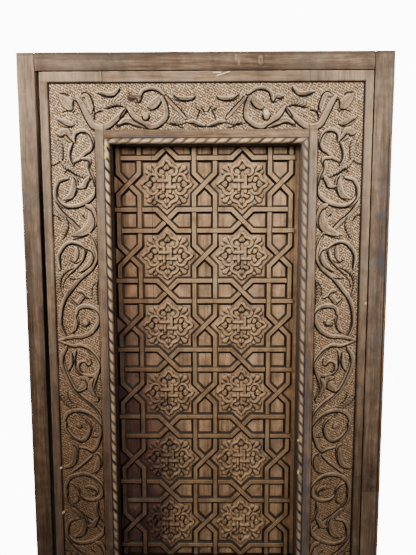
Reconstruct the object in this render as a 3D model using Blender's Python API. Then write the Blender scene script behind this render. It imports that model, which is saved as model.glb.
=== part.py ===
"""Carved door leaf in its plain frame.

The leaf is framed: two stiles, three rails and two thin panels in grooves.
Stiles and rails carry a sunk field with a scrolling vine, the panels carry
interlaced straps with rosettes, and roped beads line both openings.
X runs to the right, Y into the wall and Z up. The origin is the middle of
the underside of the sill. All sizes are in metres.
"""

import math

import bmesh
import bpy
from mathutils import Matrix, Vector

# Gap kept between pieces that touch
TOUCH_GAP = 0.0003

# Frame
FRAME_WIDTH = 0.954
FRAME_HEIGHT = 1.980
FRAME_DEPTH = 0.050
JAMB_LEFT_FACE = 0.046
JAMB_RIGHT_FACE = 0.050
HEAD_FACE = 0.046
SILL_FACE = 0.046

# Play between the leaf and the frame
GAP_FREE_SIDE = 0.011
GAP_HINGE_SIDE = 0.003
GAP_HEAD = 0.002
GAP_SILL = 0.004

# Leaf members, from the leaf's edge to the opening
LEAF_THICKNESS = 0.050
STRIP_SIDE = 0.021
STRIP_END = 0.026
FIELD_WIDTH = 0.117
FIELD_DEPTH = 0.004
BAND_SIDE = 0.022
BAND_END = 0.020
LOWER_PANEL_ROWS = 1

# Roped bead that lines an opening
ROPE_WIDTH = 0.018
ROPE_PROUD = 0.0065
ROPE_SHOULDER = 0.0015
ROPE_PITCH = 0.028
ROPE_SLANT = 0.014

# Panels and the grooves that hold them
PANEL_SETBACK = 0.031
PANEL_THICKNESS = 0.012
GROOVE_DEPTH = 0.009
GROOVE_END_PLAY = 0.001
TENON_LENGTH = 0.008

# Interlace of straps. A tile's size is stretched to fill the opening with
# whole tiles between the margins at its left and right edges.
TILE_WIDTH = 0.200
TILE_HEIGHT = 0.189
MARGIN_LEFT = 0.0385
MARGIN_RIGHT = 0.0489
STRAP_OFFSET = 0.0278
STRAP_TOP_WIDTH = 0.012
STRAP_BASE_WIDTH = 0.019
STRAP_RELIEF = 0.006
STRAP_GROOVE = 0.0012
# Depth by which a raised shape reaches into the piece that it grows from
EMBED = 0.002
# Least cosine that a path's corner is widened for
CORNER_LIMIT = 0.5

# Rosettes between the straps, and what they leave free to a tile's edges
ROSETTE_FREE_ACROSS = 0.024
ROSETTE_FREE_UP = 0.0285
ROSETTE_RELIEF = 0.0045
# One quarter of a rosette's rim: turn in degrees and share of the half size
ROSETTE_RIM = ((-18, 0.80), (0, 1.0), (18, 0.80), (27, 0.66), (45, 0.98), (63, 0.66))
ROSETTE_TAPER = 0.94

# Vine on the stiles and rails
VINE_RELIEF = 0.004
STEM_WIDTH = 0.011
VOLUTE_SEGMENTS = 6
STEM_SEGMENTS = 3
VINE_RUN = 0.932
# Width of field that the vine's points below are drawn for
VINE_DRAWN_WIDTH = 0.117

# Butt hinges
HINGE_COUNT = 3
HINGE_HEIGHT = 0.100
HINGE_PLATE_WIDTH = 0.030
HINGE_PLATE_THICKNESS = 0.0025
HINGE_END_DISTANCE = 0.180
KNUCKLE_RADIUS = 0.006
KNUCKLE_SIDES = 10
MIDDLE_KNUCKLE_HEIGHT = 0.040
PIN_RADIUS = 0.003
PIN_PLAY = 0.0003
# Largest angle between two faces of a round surface
ROUND_ANGLE = math.radians(40)

# Sizes that follow from the ones above
LEAF_LEFT = -FRAME_WIDTH / 2 + JAMB_LEFT_FACE + GAP_FREE_SIDE
LEAF_RIGHT = FRAME_WIDTH / 2 - JAMB_RIGHT_FACE - GAP_HINGE_SIDE
LEAF_BOTTOM = SILL_FACE + GAP_SILL
LEAF_TOP = FRAME_HEIGHT - HEAD_FACE - GAP_HEAD
LEAF_WIDTH = LEAF_RIGHT - LEAF_LEFT
LEAF_HEIGHT = LEAF_TOP - LEAF_BOTTOM
LEAF_MIDDLE = (LEAF_LEFT + LEAF_RIGHT) / 2
FRONT = -FRAME_DEPTH / 2
LEAF_REAR = FRONT + LEAF_THICKNESS
STILE_WIDTH = STRIP_SIDE + FIELD_WIDTH + BAND_SIDE
END_RAIL_HEIGHT = STRIP_END + FIELD_WIDTH + BAND_END
MIDDLE_RAIL_HEIGHT = BAND_END + FIELD_WIDTH + BAND_END
RAIL_LEFT = LEAF_LEFT + STILE_WIDTH
RAIL_RIGHT = LEAF_RIGHT - STILE_WIDTH
BEAD_SPACE = ROPE_WIDTH + TOUCH_GAP
LOWER_OPENING_HEIGHT = LOWER_PANEL_ROWS * TILE_HEIGHT
OPENING_WIDTH = RAIL_RIGHT - RAIL_LEFT - 2 * BEAD_SPACE
FIELD_GROUND = FRONT + FIELD_DEPTH
BOTTOM_RAIL_TOP = LEAF_BOTTOM + END_RAIL_HEIGHT
MIDDLE_RAIL_BOTTOM = BOTTOM_RAIL_TOP + LOWER_OPENING_HEIGHT + 2 * BEAD_SPACE
MIDDLE_RAIL_TOP = MIDDLE_RAIL_BOTTOM + MIDDLE_RAIL_HEIGHT
TOP_RAIL_BOTTOM = LEAF_TOP - END_RAIL_HEIGHT
FIELD_HEIGHT = LEAF_HEIGHT - 2 * STRIP_END
PANEL_FRONT = FRONT + PANEL_SETBACK
GROOVE_FRONT = PANEL_FRONT - TOUCH_GAP
GROOVE_REAR = PANEL_FRONT + PANEL_THICKNESS + TOUCH_GAP
AXIS_X = LEAF_RIGHT + GAP_HINGE_SIDE / 2
AXIS_Y = LEAF_REAR + KNUCKLE_RADIUS + TOUCH_GAP

# Length by which a cutter passes the piece that it cuts
OVERCUT = 0.010
# Distance within which a cutting plane counts as touching a point
CUT_TOLERANCE = 1e-6

# The vine is laid out on the left stile: across from the field's outer edge,
# down from the field's top. A volute is tail, centre, radius, end radius,
# start angle and turn in degrees; 0 is across, 90 is up.
VOLUTES = [
    ((0.084, 0.188), (0.060, 0.262), 0.048, 0.024, 45, -265),
    ((0.040, 0.486), (0.046, 0.432), 0.036, 0.018, 223, -300),
    ((0.013, 0.661), (0.084, 0.606), 0.042, 0.016, 250, 330),
    ((0.013, 0.665), (0.076, 0.724), 0.044, 0.022, 100, -290),
    ((0.112, 0.915), (0.052, 0.893), 0.053, 0.026, 5, 360),
    ((0.014, 1.108), (0.072, 1.068), 0.048, 0.024, 150, -310),
]
# A stem is a curve from one point, pulled towards two others, to its end.
STEMS = [
    ((0.008, 0.282), (0.020, 0.335), (0.040, 0.330), (0.080, 0.366)),
    ((0.097, 0.379), (0.128, 0.440), (0.100, 0.465), (0.048, 0.524)),
    ((0.048, 0.524), (0.014, 0.575), (0.008, 0.620), (0.030, 0.648)),
    ((0.028, 0.688), (0.000, 0.745), (0.036, 0.800), (0.069, 0.826)),
    ((0.069, 0.826), (0.120, 0.862), (0.124, 0.950), (0.086, 0.968)),
    ((0.090, 0.972), (0.070, 0.990), (0.050, 1.010), (0.029, 1.033)),
]
# A leaf is its base, a point beside its belly, its tip and its width.
LEAVES = [
    ((0.023, 0.188), (0.062, 0.226), (0.098, 0.238), 0.016),
    ((0.045, 0.214), (0.080, 0.275), (0.036, 0.298), 0.018),
    ((0.084, 0.306), (0.124, 0.366), (0.051, 0.391), 0.026),
    ((0.024, 0.334), (0.018, 0.360), (0.036, 0.386), 0.014),
    ((0.112, 0.748), (0.086, 0.786), (0.108, 0.826), 0.014),
    ((0.006, 0.811), (0.030, 0.828), (0.066, 0.872), 0.014),
    ((0.040, 0.944), (0.036, 0.985), (0.012, 1.008), 0.016),
    ((0.096, 0.972), (0.118, 1.000), (0.084, 1.032), 0.022),
]
# The same for a corner, where the vine passes from the stile to the rail.
CORNER_VOLUTES = [
    ((0.089, 0.020), (0.134, 0.078), 0.035, 0.030, 185, 195),
    ((0.083, 0.186), (0.078, 0.152), 0.032, 0.020, -30, 200),
]
CORNER_LEAVES = [
    ((0.071, 0.070), (0.059, 0.034), (0.019, 0.022), 0.020),
    ((0.065, 0.108), (0.029, 0.120), (0.015, 0.086), 0.018),
]
# The same for the left half of a rail, whose points run sideways from the
# leaf's middle (negative to the left).
RAIL_VOLUTES = [
    ((-0.232, 0.058), (-0.135, 0.062), 0.050, 0.026, 225, 345),
]
RAIL_LEAVES = [
    ((-0.100, 0.031), (-0.080, 0.060), (-0.051, 0.090), 0.010),
    ((-0.083, 0.024), (-0.056, 0.056), (-0.024, 0.034), 0.014),
    ((-0.094, 0.104), (-0.070, 0.090), (-0.044, 0.108), 0.016),
]


def remove_all_objects():
    """Empty the file so that the part starts clean."""
    for item in list(bpy.data.objects):
        bpy.data.objects.remove(item, do_unlink=True)


def make_material(name, colour, roughness, metallic=0.0):
    """Return a plain surface with the piece's own colour."""
    material = bpy.data.materials.new(name)
    material.use_nodes = True
    shader = material.node_tree.nodes["Principled BSDF"]
    shader.inputs["Base Color"].default_value = (*colour, 1.0)
    shader.inputs["Roughness"].default_value = roughness
    shader.inputs["Metallic"].default_value = metallic
    material.diffuse_color = (*colour, 1.0)
    return material


def new_mesh(bm, name):
    """Store a bmesh, its faces turned outwards."""
    bmesh.ops.recalc_face_normals(bm, faces=bm.faces)
    mesh = bpy.data.meshes.new(name)
    bm.to_mesh(mesh)
    bm.free()
    return mesh


def add_object(name, mesh, material=None, place=(0.0, 0.0, 0.0)):
    """Put a mesh in the scene at its place."""
    item = bpy.data.objects.new(name, mesh)
    item.location = place
    if material is not None:
        mesh.materials.append(material)
    bpy.context.scene.collection.objects.link(item)
    return item


def add_box(bm, low, high):
    """Add a box between two corners to a bmesh."""
    low = Vector(low)
    high = Vector(high)
    size = high - low
    scale = Matrix.Diagonal((size.x, size.y, size.z, 1.0))
    place = Matrix.Translation((low + high) / 2)
    bmesh.ops.create_cube(bm, size=1.0, matrix=place @ scale)


def box_mesh(name, boxes):
    """Return a mesh of one or more separate boxes."""
    bm = bmesh.new()
    for low, high in boxes:
        add_box(bm, low, high)
    return new_mesh(bm, name)


def add_boolean(item, name, mesh, operation):
    """Cut a hidden shape from a piece, or join it to the piece."""
    tool = add_object(name, mesh, place=item.location)
    tool.parent = item.parent
    tool.hide_render = True
    tool.hide_set(True)
    tool.display_type = "WIRE"
    modifier = item.modifiers.new(name, "BOOLEAN")
    modifier.operation = operation
    modifier.solver = "EXACT"
    modifier.object = tool


def cut_boxes(item, name, boxes):
    """Cut one or more boxes from a piece."""
    add_boolean(item, name, box_mesh(name, boxes), "DIFFERENCE")


def clip_to_box(bm, low_x, high_x, low_z, high_z):
    """Cut closed shapes off at four upright planes and close the cuts."""
    planes = [
        ((low_x, 0, 0), (-1, 0, 0)),
        ((high_x, 0, 0), (1, 0, 0)),
        ((0, 0, low_z), (0, 0, -1)),
        ((0, 0, high_z), (0, 0, 1)),
    ]
    for point, normal in planes:
        cut_by_plane(bm, point, normal)


def cut_by_plane(bm, point, normal):
    """Remove what lies on the normal's side of a plane and close the cut."""
    geometry = list(bm.verts) + list(bm.edges) + list(bm.faces)
    bmesh.ops.bisect_plane(
        bm,
        geom=geometry,
        dist=CUT_TOLERANCE,
        plane_co=point,
        plane_no=normal,
        clear_outer=True,
    )
    rim = [edge for edge in bm.edges if edge.is_boundary]
    if rim:
        bmesh.ops.holes_fill(bm, edges=rim, sides=0)


# Relief shapes lie on the ground y = 0: plan points are (x, z), and a height
# over the ground runs along -Y.

def relief_points(bm, plan, height):
    """Add plan points to a bmesh at a height over the ground."""
    return [bm.verts.new((x, -height, z)) for x, z in plan]


def add_tube(bm, rings):
    """Close the skin between a row of rings and cap both ends."""
    for near, far in zip(rings, rings[1:]):
        for index in range(len(near)):
            after = (index + 1) % len(near)
            bm.faces.new((near[index], near[after], far[after], far[index]))
    bm.faces.new(rings[0])
    bm.faces.new(rings[-1])


def offset_sides(points, half_width):
    """Return the left and right plan points of a band along a path."""
    left = []
    right = []
    count = len(points)
    for index, point in enumerate(points):
        before = (point - points[index - 1]).normalized() if index else None
        after = (points[index + 1] - point).normalized() if index < count - 1 else None
        before = before or after
        after = after or before
        along = (before + after).normalized()
        side = Vector((-along.y, along.x))
        reach = half_width / max(CORNER_LIMIT, along.dot(after))
        left.append(point + side * reach)
        right.append(point - side * reach)
    return left, right


def add_strap(bm, points, trim_start, trim_end):
    """Add a flat-topped strap with sloping sides along a path.

    An end that passes under another strap is cut parallel to its flank.
    """
    slope = (STRAP_BASE_WIDTH - STRAP_TOP_WIDTH) / 2 / STRAP_RELIEF
    sides = []
    for height in (-EMBED, STRAP_RELIEF):
        half = STRAP_TOP_WIDTH / 2 + slope * (STRAP_RELIEF - height)
        path = [point.copy() for point in points]
        if trim_start:
            path[0] += (points[1] - points[0]).normalized() * (half + STRAP_GROOVE)
        if trim_end:
            path[-1] += (points[-2] - points[-1]).normalized() * (half + STRAP_GROOVE)
        sides.append([relief_points(bm, side, height) for side in offset_sides(path, half)])
    (base_left, base_right), (top_left, top_right) = sides
    add_tube(bm, list(zip(base_left, base_right, top_right, top_left)))


def add_ridge(bm, points, width):
    """Add a roof-shaped ridge along a path."""
    left, right = offset_sides(points, width / 2)
    base_left = relief_points(bm, left, -EMBED)
    base_right = relief_points(bm, right, -EMBED)
    crown = relief_points(bm, points, VINE_RELIEF)
    add_tube(bm, list(zip(base_left, base_right, crown)))


def add_leaf(bm, base, belly, tip, width):
    """Add a leaf: a kite with its highest point at the belly."""
    along = (tip - base).normalized()
    side = Vector((-along.y, along.x)) * width / 2
    rim = relief_points(bm, [base, belly - side, tip, belly + side], -EMBED)
    crown = relief_points(bm, [belly], VINE_RELIEF)[0]
    bm.faces.new(rim)
    for one, two in zip(rim, rim[1:] + rim[:1]):
        bm.faces.new((one, two, crown))


def add_plate(bm, outline, relief, taper):
    """Add a flat plate whose top is a little smaller than its foot."""
    middle = sum(outline, Vector((0.0, 0.0))) / len(outline)
    shrunk = [middle + (point - middle) * taper for point in outline]
    add_tube(bm, [relief_points(bm, outline, -EMBED), relief_points(bm, shrunk, relief)])


# Interlace. Plan points are measured from the opening's top left corner.
# An upright pair of straps runs down every gap between rosette columns and
# crosses beside each rosette; a level pair runs along every gap between
# rosette rows and crosses above and below each rosette.

def strand_pieces(events):
    """Split a strand into the pieces between the crossings it dives under."""
    pieces = []
    path = []
    trimmed = False
    for point, kind in events:
        path.append(point)
        if kind == "under":
            pieces.append((path, trimmed, True))
            path = [point]
            trimmed = True
        elif kind == "over":
            path.pop()
    pieces.append((path, trimmed, False))
    return [piece for piece in pieces if len(piece[0]) > 1 and has_room(*piece)]


def has_room(path, trimmed_start, trimmed_end):
    """Tell whether a piece is still longer than wide once its ends are cut."""
    length = sum((two - one).length for one, two in zip(path, path[1:]))
    cut = (STRAP_BASE_WIDTH / 2 + STRAP_GROOVE) * (trimmed_start + trimmed_end)
    return length > cut + STRAP_TOP_WIDTH / 2


def upright_strand(column_x, side, rows, tile_height):
    """Return the pieces of one strand of an upright pair."""
    edge_x = column_x + side * STRAP_OFFSET
    events = [(Vector((edge_x, STRAP_BASE_WIDTH)), "end")]
    for row in range(rows + 1):
        level = -row * tile_height
        for half in (1, -1):
            if row == 0 and half == 1:
                continue
            kind = "over" if side * half > 0 else "under"
            events.append((Vector((edge_x, level + half * STRAP_OFFSET)), kind))
        if row == rows:
            break
        middle = level - tile_height / 2
        events.append((Vector((edge_x, middle + STRAP_OFFSET)), "bend"))
        events.append((Vector((column_x, middle)), "over" if side > 0 else "under"))
        side = -side
        edge_x = column_x + side * STRAP_OFFSET
        events.append((Vector((edge_x, middle - STRAP_OFFSET)), "bend"))
    bottom = -rows * tile_height - STRAP_BASE_WIDTH
    events.append((Vector((edge_x, bottom)), "end"))
    return strand_pieces(events)


def level_strand(row_z, side, columns, tile_width):
    """Return the pieces of one strand of a level pair."""
    reach = STRAP_OFFSET + STRAP_BASE_WIDTH / 2
    edge_z = row_z + side * STRAP_OFFSET
    events = [(Vector((MARGIN_LEFT - reach, edge_z)), "end")]
    for column in range(columns + 1):
        column_x = MARGIN_LEFT + column * tile_width
        for half in (-1, 1):
            kind = "over" if side * half < 0 else "under"
            events.append((Vector((column_x + half * STRAP_OFFSET, edge_z)), kind))
        if column == columns:
            break
        middle = column_x + tile_width / 2
        events.append((Vector((middle - STRAP_OFFSET, edge_z)), "bend"))
        events.append((Vector((middle, row_z)), "over" if side > 0 else "under"))
        side = -side
        edge_z = row_z + side * STRAP_OFFSET
        events.append((Vector((middle + STRAP_OFFSET, edge_z)), "bend"))
    last_x = MARGIN_LEFT + columns * tile_width
    events.append((Vector((last_x + reach, edge_z)), "end"))
    return strand_pieces(events)


def rosette_outline(centre, tile_width, tile_height):
    """Return a plan with four pointed lobes and four scalloped ones."""
    half_width = tile_width / 2 - ROSETTE_FREE_ACROSS
    half_height = tile_height / 2 - ROSETTE_FREE_UP
    outline = []
    for quarter_turn in (0, 90, 180, 270):
        for turn, reach in ROSETTE_RIM:
            angle = math.radians(quarter_turn + turn)
            step = Vector((half_width * math.cos(angle), half_height * math.sin(angle)))
            outline.append(centre + step * reach)
    return outline


def interlace_mesh(name, opening_width, opening_height):
    """Return the straps and rosettes that fill one opening."""
    pattern_width = opening_width - MARGIN_LEFT - MARGIN_RIGHT
    columns = max(1, round(pattern_width / TILE_WIDTH))
    rows = max(1, round(opening_height / TILE_HEIGHT))
    tile_width = pattern_width / columns
    tile_height = opening_height / rows
    relief = bmesh.new()
    paths = []
    for column in range(columns + 1):
        column_x = MARGIN_LEFT + column * tile_width
        for side in (-1, 1):
            paths += upright_strand(column_x, side, rows, tile_height)
    for row in range(rows + 1):
        for side in (-1, 1):
            paths += level_strand(-row * tile_height, side, columns, tile_width)
    for path, start, end in paths:
        add_strap(relief, path, start, end)
    right = opening_width - TOUCH_GAP
    bottom = TOUCH_GAP - opening_height
    clip_to_box(relief, TOUCH_GAP, right, bottom, -TOUCH_GAP)
    for column in range(columns):
        for row in range(rows):
            centre_x = MARGIN_LEFT + column * tile_width + tile_width / 2
            centre = Vector((centre_x, -row * tile_height - tile_height / 2))
            outline = rosette_outline(centre, tile_width, tile_height)
            add_plate(relief, outline, ROSETTE_RELIEF, ROSETTE_TAPER)
    return new_mesh(relief, name)


def make_panel(name, bottom, top, material, parent):
    """Make one carved panel between two rails, its edges in their grooves."""
    opening_height = top - bottom - 2 * BEAD_SPACE
    tongue = GROOVE_DEPTH - GROOVE_END_PLAY
    corner = Vector((RAIL_LEFT + BEAD_SPACE, PANEL_FRONT, top - BEAD_SPACE))
    low = Vector((RAIL_LEFT - tongue, PANEL_FRONT, bottom - tongue)) - corner
    high = Vector((RAIL_RIGHT + tongue, PANEL_FRONT + PANEL_THICKNESS, top + tongue)) - corner
    item = add_object(name, box_mesh(name, [(low, high)]), material, corner)
    attach(item, parent)
    relief = interlace_mesh(name + "_interlace", OPENING_WIDTH, opening_height)
    add_boolean(item, name + "_interlace", relief, "UNION")
    return item


# Vine. Paths are plan points on the leaf's face: x, and z from the field's
# top edge (negative downwards).

def volute_path(tail, centre, radius, end_radius, start, turn):
    """Return a path that runs from its tail into a spiral."""
    points = [Vector(tail)]
    for step in range(VOLUTE_SEGMENTS):
        share = step / (VOLUTE_SEGMENTS - 1)
        angle = math.radians(start + turn * share)
        reach = radius + (end_radius - radius) * share
        points.append(Vector(centre) + Vector((math.cos(angle), -math.sin(angle))) * reach)
    return points


def curve_path(first, pull_one, pull_two, last, segments):
    """Return points along a cubic curve."""
    points = []
    for step in range(segments + 1):
        share = step / segments
        rest = 1 - share
        points.append(
            Vector(first) * rest ** 3
            + Vector(pull_one) * 3 * rest ** 2 * share
            + Vector(pull_two) * 3 * rest * share ** 2
            + Vector(last) * share ** 3
        )
    return points


def vine_shapes(volutes, stems, leaves, shift=(0.0, 0.0)):
    """Return the points and width of every ridge and leaf of three tables.

    A leaf is three points and its own width, a ridge is a path and None.
    """
    shapes = []
    for row in volutes:
        shapes.append((volute_path(*row), None))
    for row in stems:
        shapes.append((curve_path(*row, STEM_SEGMENTS), None))
    for base, pull, tip, width in leaves:
        shapes.append((curve_path(base, pull, pull, tip, 2), width))
    return move_shapes(shapes, Vector(shift))


def move_shapes(shapes, shift):
    """Return shapes moved by a plan distance."""
    return [([point + shift for point in path], width) for path, width in shapes]


def fit_shapes(shapes):
    """Return shapes stretched from the drawn width of field to the real one."""
    scale = FIELD_WIDTH / VINE_DRAWN_WIDTH
    fitted = []
    for path, width in shapes:
        fitted.append(([point * scale for point in path], width and width * scale))
    return fitted


def flip_down(shapes, height):
    """Return shapes turned upside down within a field of a given height."""
    return [([Vector((p.x, height - p.y)) for p in path], width) for path, width in shapes]


def flip_across(shapes):
    """Return shapes turned left to right about the middle."""
    return [([Vector((-p.x, p.y)) for p in path], width) for path, width in shapes]


def above(shapes, limit):
    """Return the shapes that end above a distance down the field."""
    return [shape for shape in shapes if max(p.y for p in shape[0]) <= limit]


def corner_shapes():
    """Return the vine at a top corner, across from the field's outer edge."""
    return fit_shapes(vine_shapes(CORNER_VOLUTES, [], CORNER_LEAVES))


def stile_shapes():
    """Return the whole vine of the left stile."""
    corner = corner_shapes()
    corner_end = max(point.y for path, width in corner for point in path)
    shapes = []
    start = 0.0
    while start < FIELD_HEIGHT:
        shapes += vine_shapes(VOLUTES, STEMS, LEAVES, (0.0, start))
        start += VINE_RUN
    middle = above(fit_shapes(shapes), FIELD_HEIGHT - corner_end)
    return corner + middle + flip_down(corner, FIELD_HEIGHT)


def rail_shapes(has_corners):
    """Return the vine of a rail from its left end to its right end."""
    left = fit_shapes(vine_shapes(RAIL_VOLUTES, [], RAIL_LEAVES))
    if has_corners:
        left += move_shapes(corner_shapes(), Vector((STRIP_SIDE - LEAF_WIDTH / 2, 0.0)))
    return left + flip_across(left)


def carve(item, shapes, limits):
    """Raise the vine on a piece within the limits of its own field."""
    for number, (path, width) in enumerate(shapes):
        plan = [Vector((point.x, -point.y)) for point in path]
        bm = bmesh.new()
        if width is None:
            add_ridge(bm, plan, STEM_WIDTH)
        else:
            add_leaf(bm, *plan, width)
        clip_to_box(bm, *limits)
        if bm.faces:
            mesh = new_mesh(bm, f"{item.name}_vine_{number:02d}")
            add_boolean(item, mesh.name, mesh, "UNION")
        else:
            bm.free()


# Leaf members. A member's own origin is the corner of its sunk field that
# the vine is measured from, on the field's ground.

def make_stile(name, is_left, material, parent):
    """Make one stile with its groove, sunk field, vine and hinge seats."""
    sign = 1 if is_left else -1
    outer = LEAF_LEFT if is_left else LEAF_RIGHT
    inner = outer + sign * STILE_WIDTH
    corner = Vector((outer + sign * STRIP_SIDE, FIELD_GROUND, LEAF_TOP - STRIP_END))
    low = Vector((min(outer, inner), FRONT, LEAF_BOTTOM)) - corner
    high = Vector((max(outer, inner), LEAF_REAR, LEAF_TOP)) - corner
    item = add_object(name, box_mesh(name, [(low, high)]), material, corner)
    attach(item, parent)

    groove_edges = sorted((inner - sign * GROOVE_DEPTH, inner + sign * OVERCUT))
    groove = (
        Vector((groove_edges[0], GROOVE_FRONT, LEAF_BOTTOM - OVERCUT)) - corner,
        Vector((groove_edges[1], GROOVE_REAR, LEAF_TOP + OVERCUT)) - corner,
    )
    cut_boxes(item, name + "_groove", [groove])
    add_boolean(item, name + "_field", stile_field_mesh(name + "_field", sign), "DIFFERENCE")
    if not is_left:
        cut_boxes(item, name + "_seats", [seat_box(middle, -1, corner) for middle in hinge_levels()])

    edge = sign * (FIELD_WIDTH + BAND_SIDE - TOUCH_GAP / 2)
    limits = (min(0.0, edge), max(0.0, edge), -FIELD_HEIGHT, 0.0)
    shapes = stile_shapes()
    carve(item, shapes if is_left else flip_across(shapes), limits)


def stile_field_mesh(name, sign):
    """Return the sunk field: a column that turns into both end rails."""
    reach = FIELD_WIDTH + BAND_SIDE + OVERCUT
    bottom = -FIELD_HEIGHT
    plan = [
        (0, 0),
        (reach, 0),
        (reach, -FIELD_WIDTH),
        (FIELD_WIDTH, -FIELD_WIDTH),
        (FIELD_WIDTH, bottom + FIELD_WIDTH),
        (reach, bottom + FIELD_WIDTH),
        (reach, bottom),
        (0, bottom),
    ]
    return slab_mesh(name, [(sign * x, z) for x, z in plan], -FIELD_DEPTH - OVERCUT, 0.0)


def slab_mesh(name, plan, front, rear):
    """Return a flat slab of a given plan between two depths."""
    bm = bmesh.new()
    add_tube(bm, [relief_points(bm, plan, -front), relief_points(bm, plan, -rear)])
    return new_mesh(bm, name)


def make_rail(name, bottom, top, field_top, grooves, material, parent):
    """Make one rail with stub tenons, grooves, sunk field and vine."""
    corner = Vector((LEAF_MIDDLE, FIELD_GROUND, field_top))
    shoulder_left = RAIL_LEFT + TOUCH_GAP
    shoulder_right = RAIL_RIGHT - TOUCH_GAP
    left = shoulder_left - TENON_LENGTH
    right = shoulder_right + TENON_LENGTH
    low = Vector((left, FRONT, bottom)) - corner
    high = Vector((right, LEAF_REAR, top)) - corner
    item = add_object(name, box_mesh(name, [(low, high)]), material, corner)
    attach(item, parent)

    shoulders = []
    tenon_front = GROOVE_FRONT + TOUCH_GAP
    tenon_rear = GROOVE_REAR - TOUCH_GAP
    for start, end in ((left - OVERCUT, shoulder_left), (shoulder_right, right + OVERCUT)):
        for near, far in ((FRONT - OVERCUT, tenon_front), (tenon_rear, LEAF_REAR + OVERCUT)):
            box_low = Vector((start, near, bottom - OVERCUT)) - corner
            box_high = Vector((end, far, top + OVERCUT)) - corner
            shoulders.append((box_low, box_high))
    cut_boxes(item, name + "_shoulders", shoulders)

    cuts = []
    for edge in grooves:
        sides = (bottom - OVERCUT, bottom + GROOVE_DEPTH)
        if edge == "top":
            sides = (top - GROOVE_DEPTH, top + OVERCUT)
        box_low = Vector((left - OVERCUT, GROOVE_FRONT, sides[0])) - corner
        box_high = Vector((right + OVERCUT, GROOVE_REAR, sides[1])) - corner
        cuts.append((box_low, box_high))
    cut_boxes(item, name + "_groove", cuts)

    half = (RAIL_RIGHT - RAIL_LEFT) / 2
    field = ((-half - OVERCUT, -FIELD_DEPTH - OVERCUT, -FIELD_WIDTH), (half + OVERCUT, 0.0, 0.0))
    cut_boxes(item, name + "_field", [field])

    edge = half - TOUCH_GAP - TOUCH_GAP / 2
    shapes = rail_shapes(len(grooves) == 1)
    if grooves == ("top",):
        shapes = flip_down(shapes, FIELD_WIDTH)
    carve(item, shapes, (-edge, edge, -FIELD_WIDTH, 0.0))


# Roped beads

def rope_mesh(name, length):
    """Return one side of an opening's bead, mitred at both ends.

    The bead runs along X from the middle of its length. Its outer side is at
    z = 0 and its inner side at z = -ROPE_WIDTH. The twist is a row of slanted
    swellings.
    """
    bm = bmesh.new()
    back = PANEL_SETBACK - TOUCH_GAP
    steps = math.ceil(length / ROPE_PITCH / 2) + 1
    outer = []
    inner = []
    outer_back = []
    inner_back = []
    shift = ROPE_SLANT / 2
    for step in range(-steps, steps + 1):
        x = step * ROPE_PITCH
        outer.append(bm.verts.new((x + shift, -ROPE_SHOULDER, 0.0)))
        inner.append(bm.verts.new((x - shift, -ROPE_SHOULDER, -ROPE_WIDTH)))
        if step in (-steps, steps):
            outer_back.append(bm.verts.new((x + shift, back, 0.0)))
            inner_back.append(bm.verts.new((x - shift, back, -ROPE_WIDTH)))
    for step in range(2 * steps):
        x = (step - steps + 0.5) * ROPE_PITCH
        crown = bm.verts.new((x, -ROPE_PROUD, -ROPE_WIDTH / 2))
        ring = (outer[step], outer[step + 1], inner[step + 1], inner[step])
        for one, two in zip(ring, ring[1:] + ring[:1]):
            bm.faces.new((one, two, crown))
    bm.faces.new(outer + list(reversed(outer_back)))
    bm.faces.new(inner + list(reversed(inner_back)))
    bm.faces.new(outer_back + list(reversed(inner_back)))
    for end in (0, -1):
        bm.faces.new((outer[end], inner[end], inner_back[end], outer_back[end]))
    half = length / 2 - TOUCH_GAP / 2
    cut_by_plane(bm, (half, 0, 0), (1, 0, -1))
    cut_by_plane(bm, (-half, 0, 0), (-1, 0, -1))
    return new_mesh(bm, name)


def make_beads(prefix, bottom, top, material, parent):
    """Make the four mitred beads that line one opening."""
    left = RAIL_LEFT + TOUCH_GAP
    right = RAIL_RIGHT - TOUCH_GAP
    low = bottom + TOUCH_GAP
    high = top - TOUCH_GAP
    middle_x = (left + right) / 2
    middle_z = (low + high) / 2
    sides = [
        ("top", right - left, (middle_x, high), 0),
        ("bottom", right - left, (middle_x, low), 180),
        ("left", high - low, (left, middle_z), -90),
        ("right", high - low, (right, middle_z), 90),
    ]
    for side, length, place, turn in sides:
        mesh = rope_mesh(prefix + side, length)
        mesh.transform(Matrix.Rotation(math.radians(turn), 4, "Y"))
        item = add_object(prefix + side, mesh, material, (place[0], FRONT, place[1]))
        attach(item, parent)


# Hinges. The knuckles stand behind the leaf's rear face.

def hinge_levels():
    """Return the heights of the hinges' middles."""
    low = LEAF_BOTTOM + HINGE_END_DISTANCE
    high = LEAF_TOP - HINGE_END_DISTANCE
    step = (high - low) / (HINGE_COUNT - 1)
    return [low + step * number for number in range(HINGE_COUNT)]


def seat_box(middle, side, corner):
    """Return the seat of one plate, side -1 in the leaf and 1 in the jamb."""
    edge = LEAF_RIGHT if side < 0 else LEAF_RIGHT + GAP_HINGE_SIDE
    depth = HINGE_PLATE_THICKNESS + TOUCH_GAP
    across = sorted((edge + side * depth, edge - side * OVERCUT))
    half = HINGE_HEIGHT / 2 + TOUCH_GAP
    front = LEAF_REAR - HINGE_PLATE_WIDTH - TOUCH_GAP
    low = Vector((across[0], front, middle - half)) - corner
    high = Vector((across[1], LEAF_REAR + OVERCUT, middle + half)) - corner
    return low, high


def barrel_mesh(name, low, high, radius):
    """Return an upright barrel around the hinge's axis."""
    bm = bmesh.new()
    bmesh.ops.create_cone(
        bm,
        cap_ends=True,
        segments=KNUCKLE_SIDES,
        radius1=radius,
        radius2=radius,
        depth=high - low,
        matrix=Matrix.Translation((0, 0, (low + high) / 2)),
    )
    mesh = new_mesh(bm, name)
    mesh.shade_smooth()
    mesh.set_sharp_from_angle(angle=ROUND_ANGLE)
    return mesh


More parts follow.
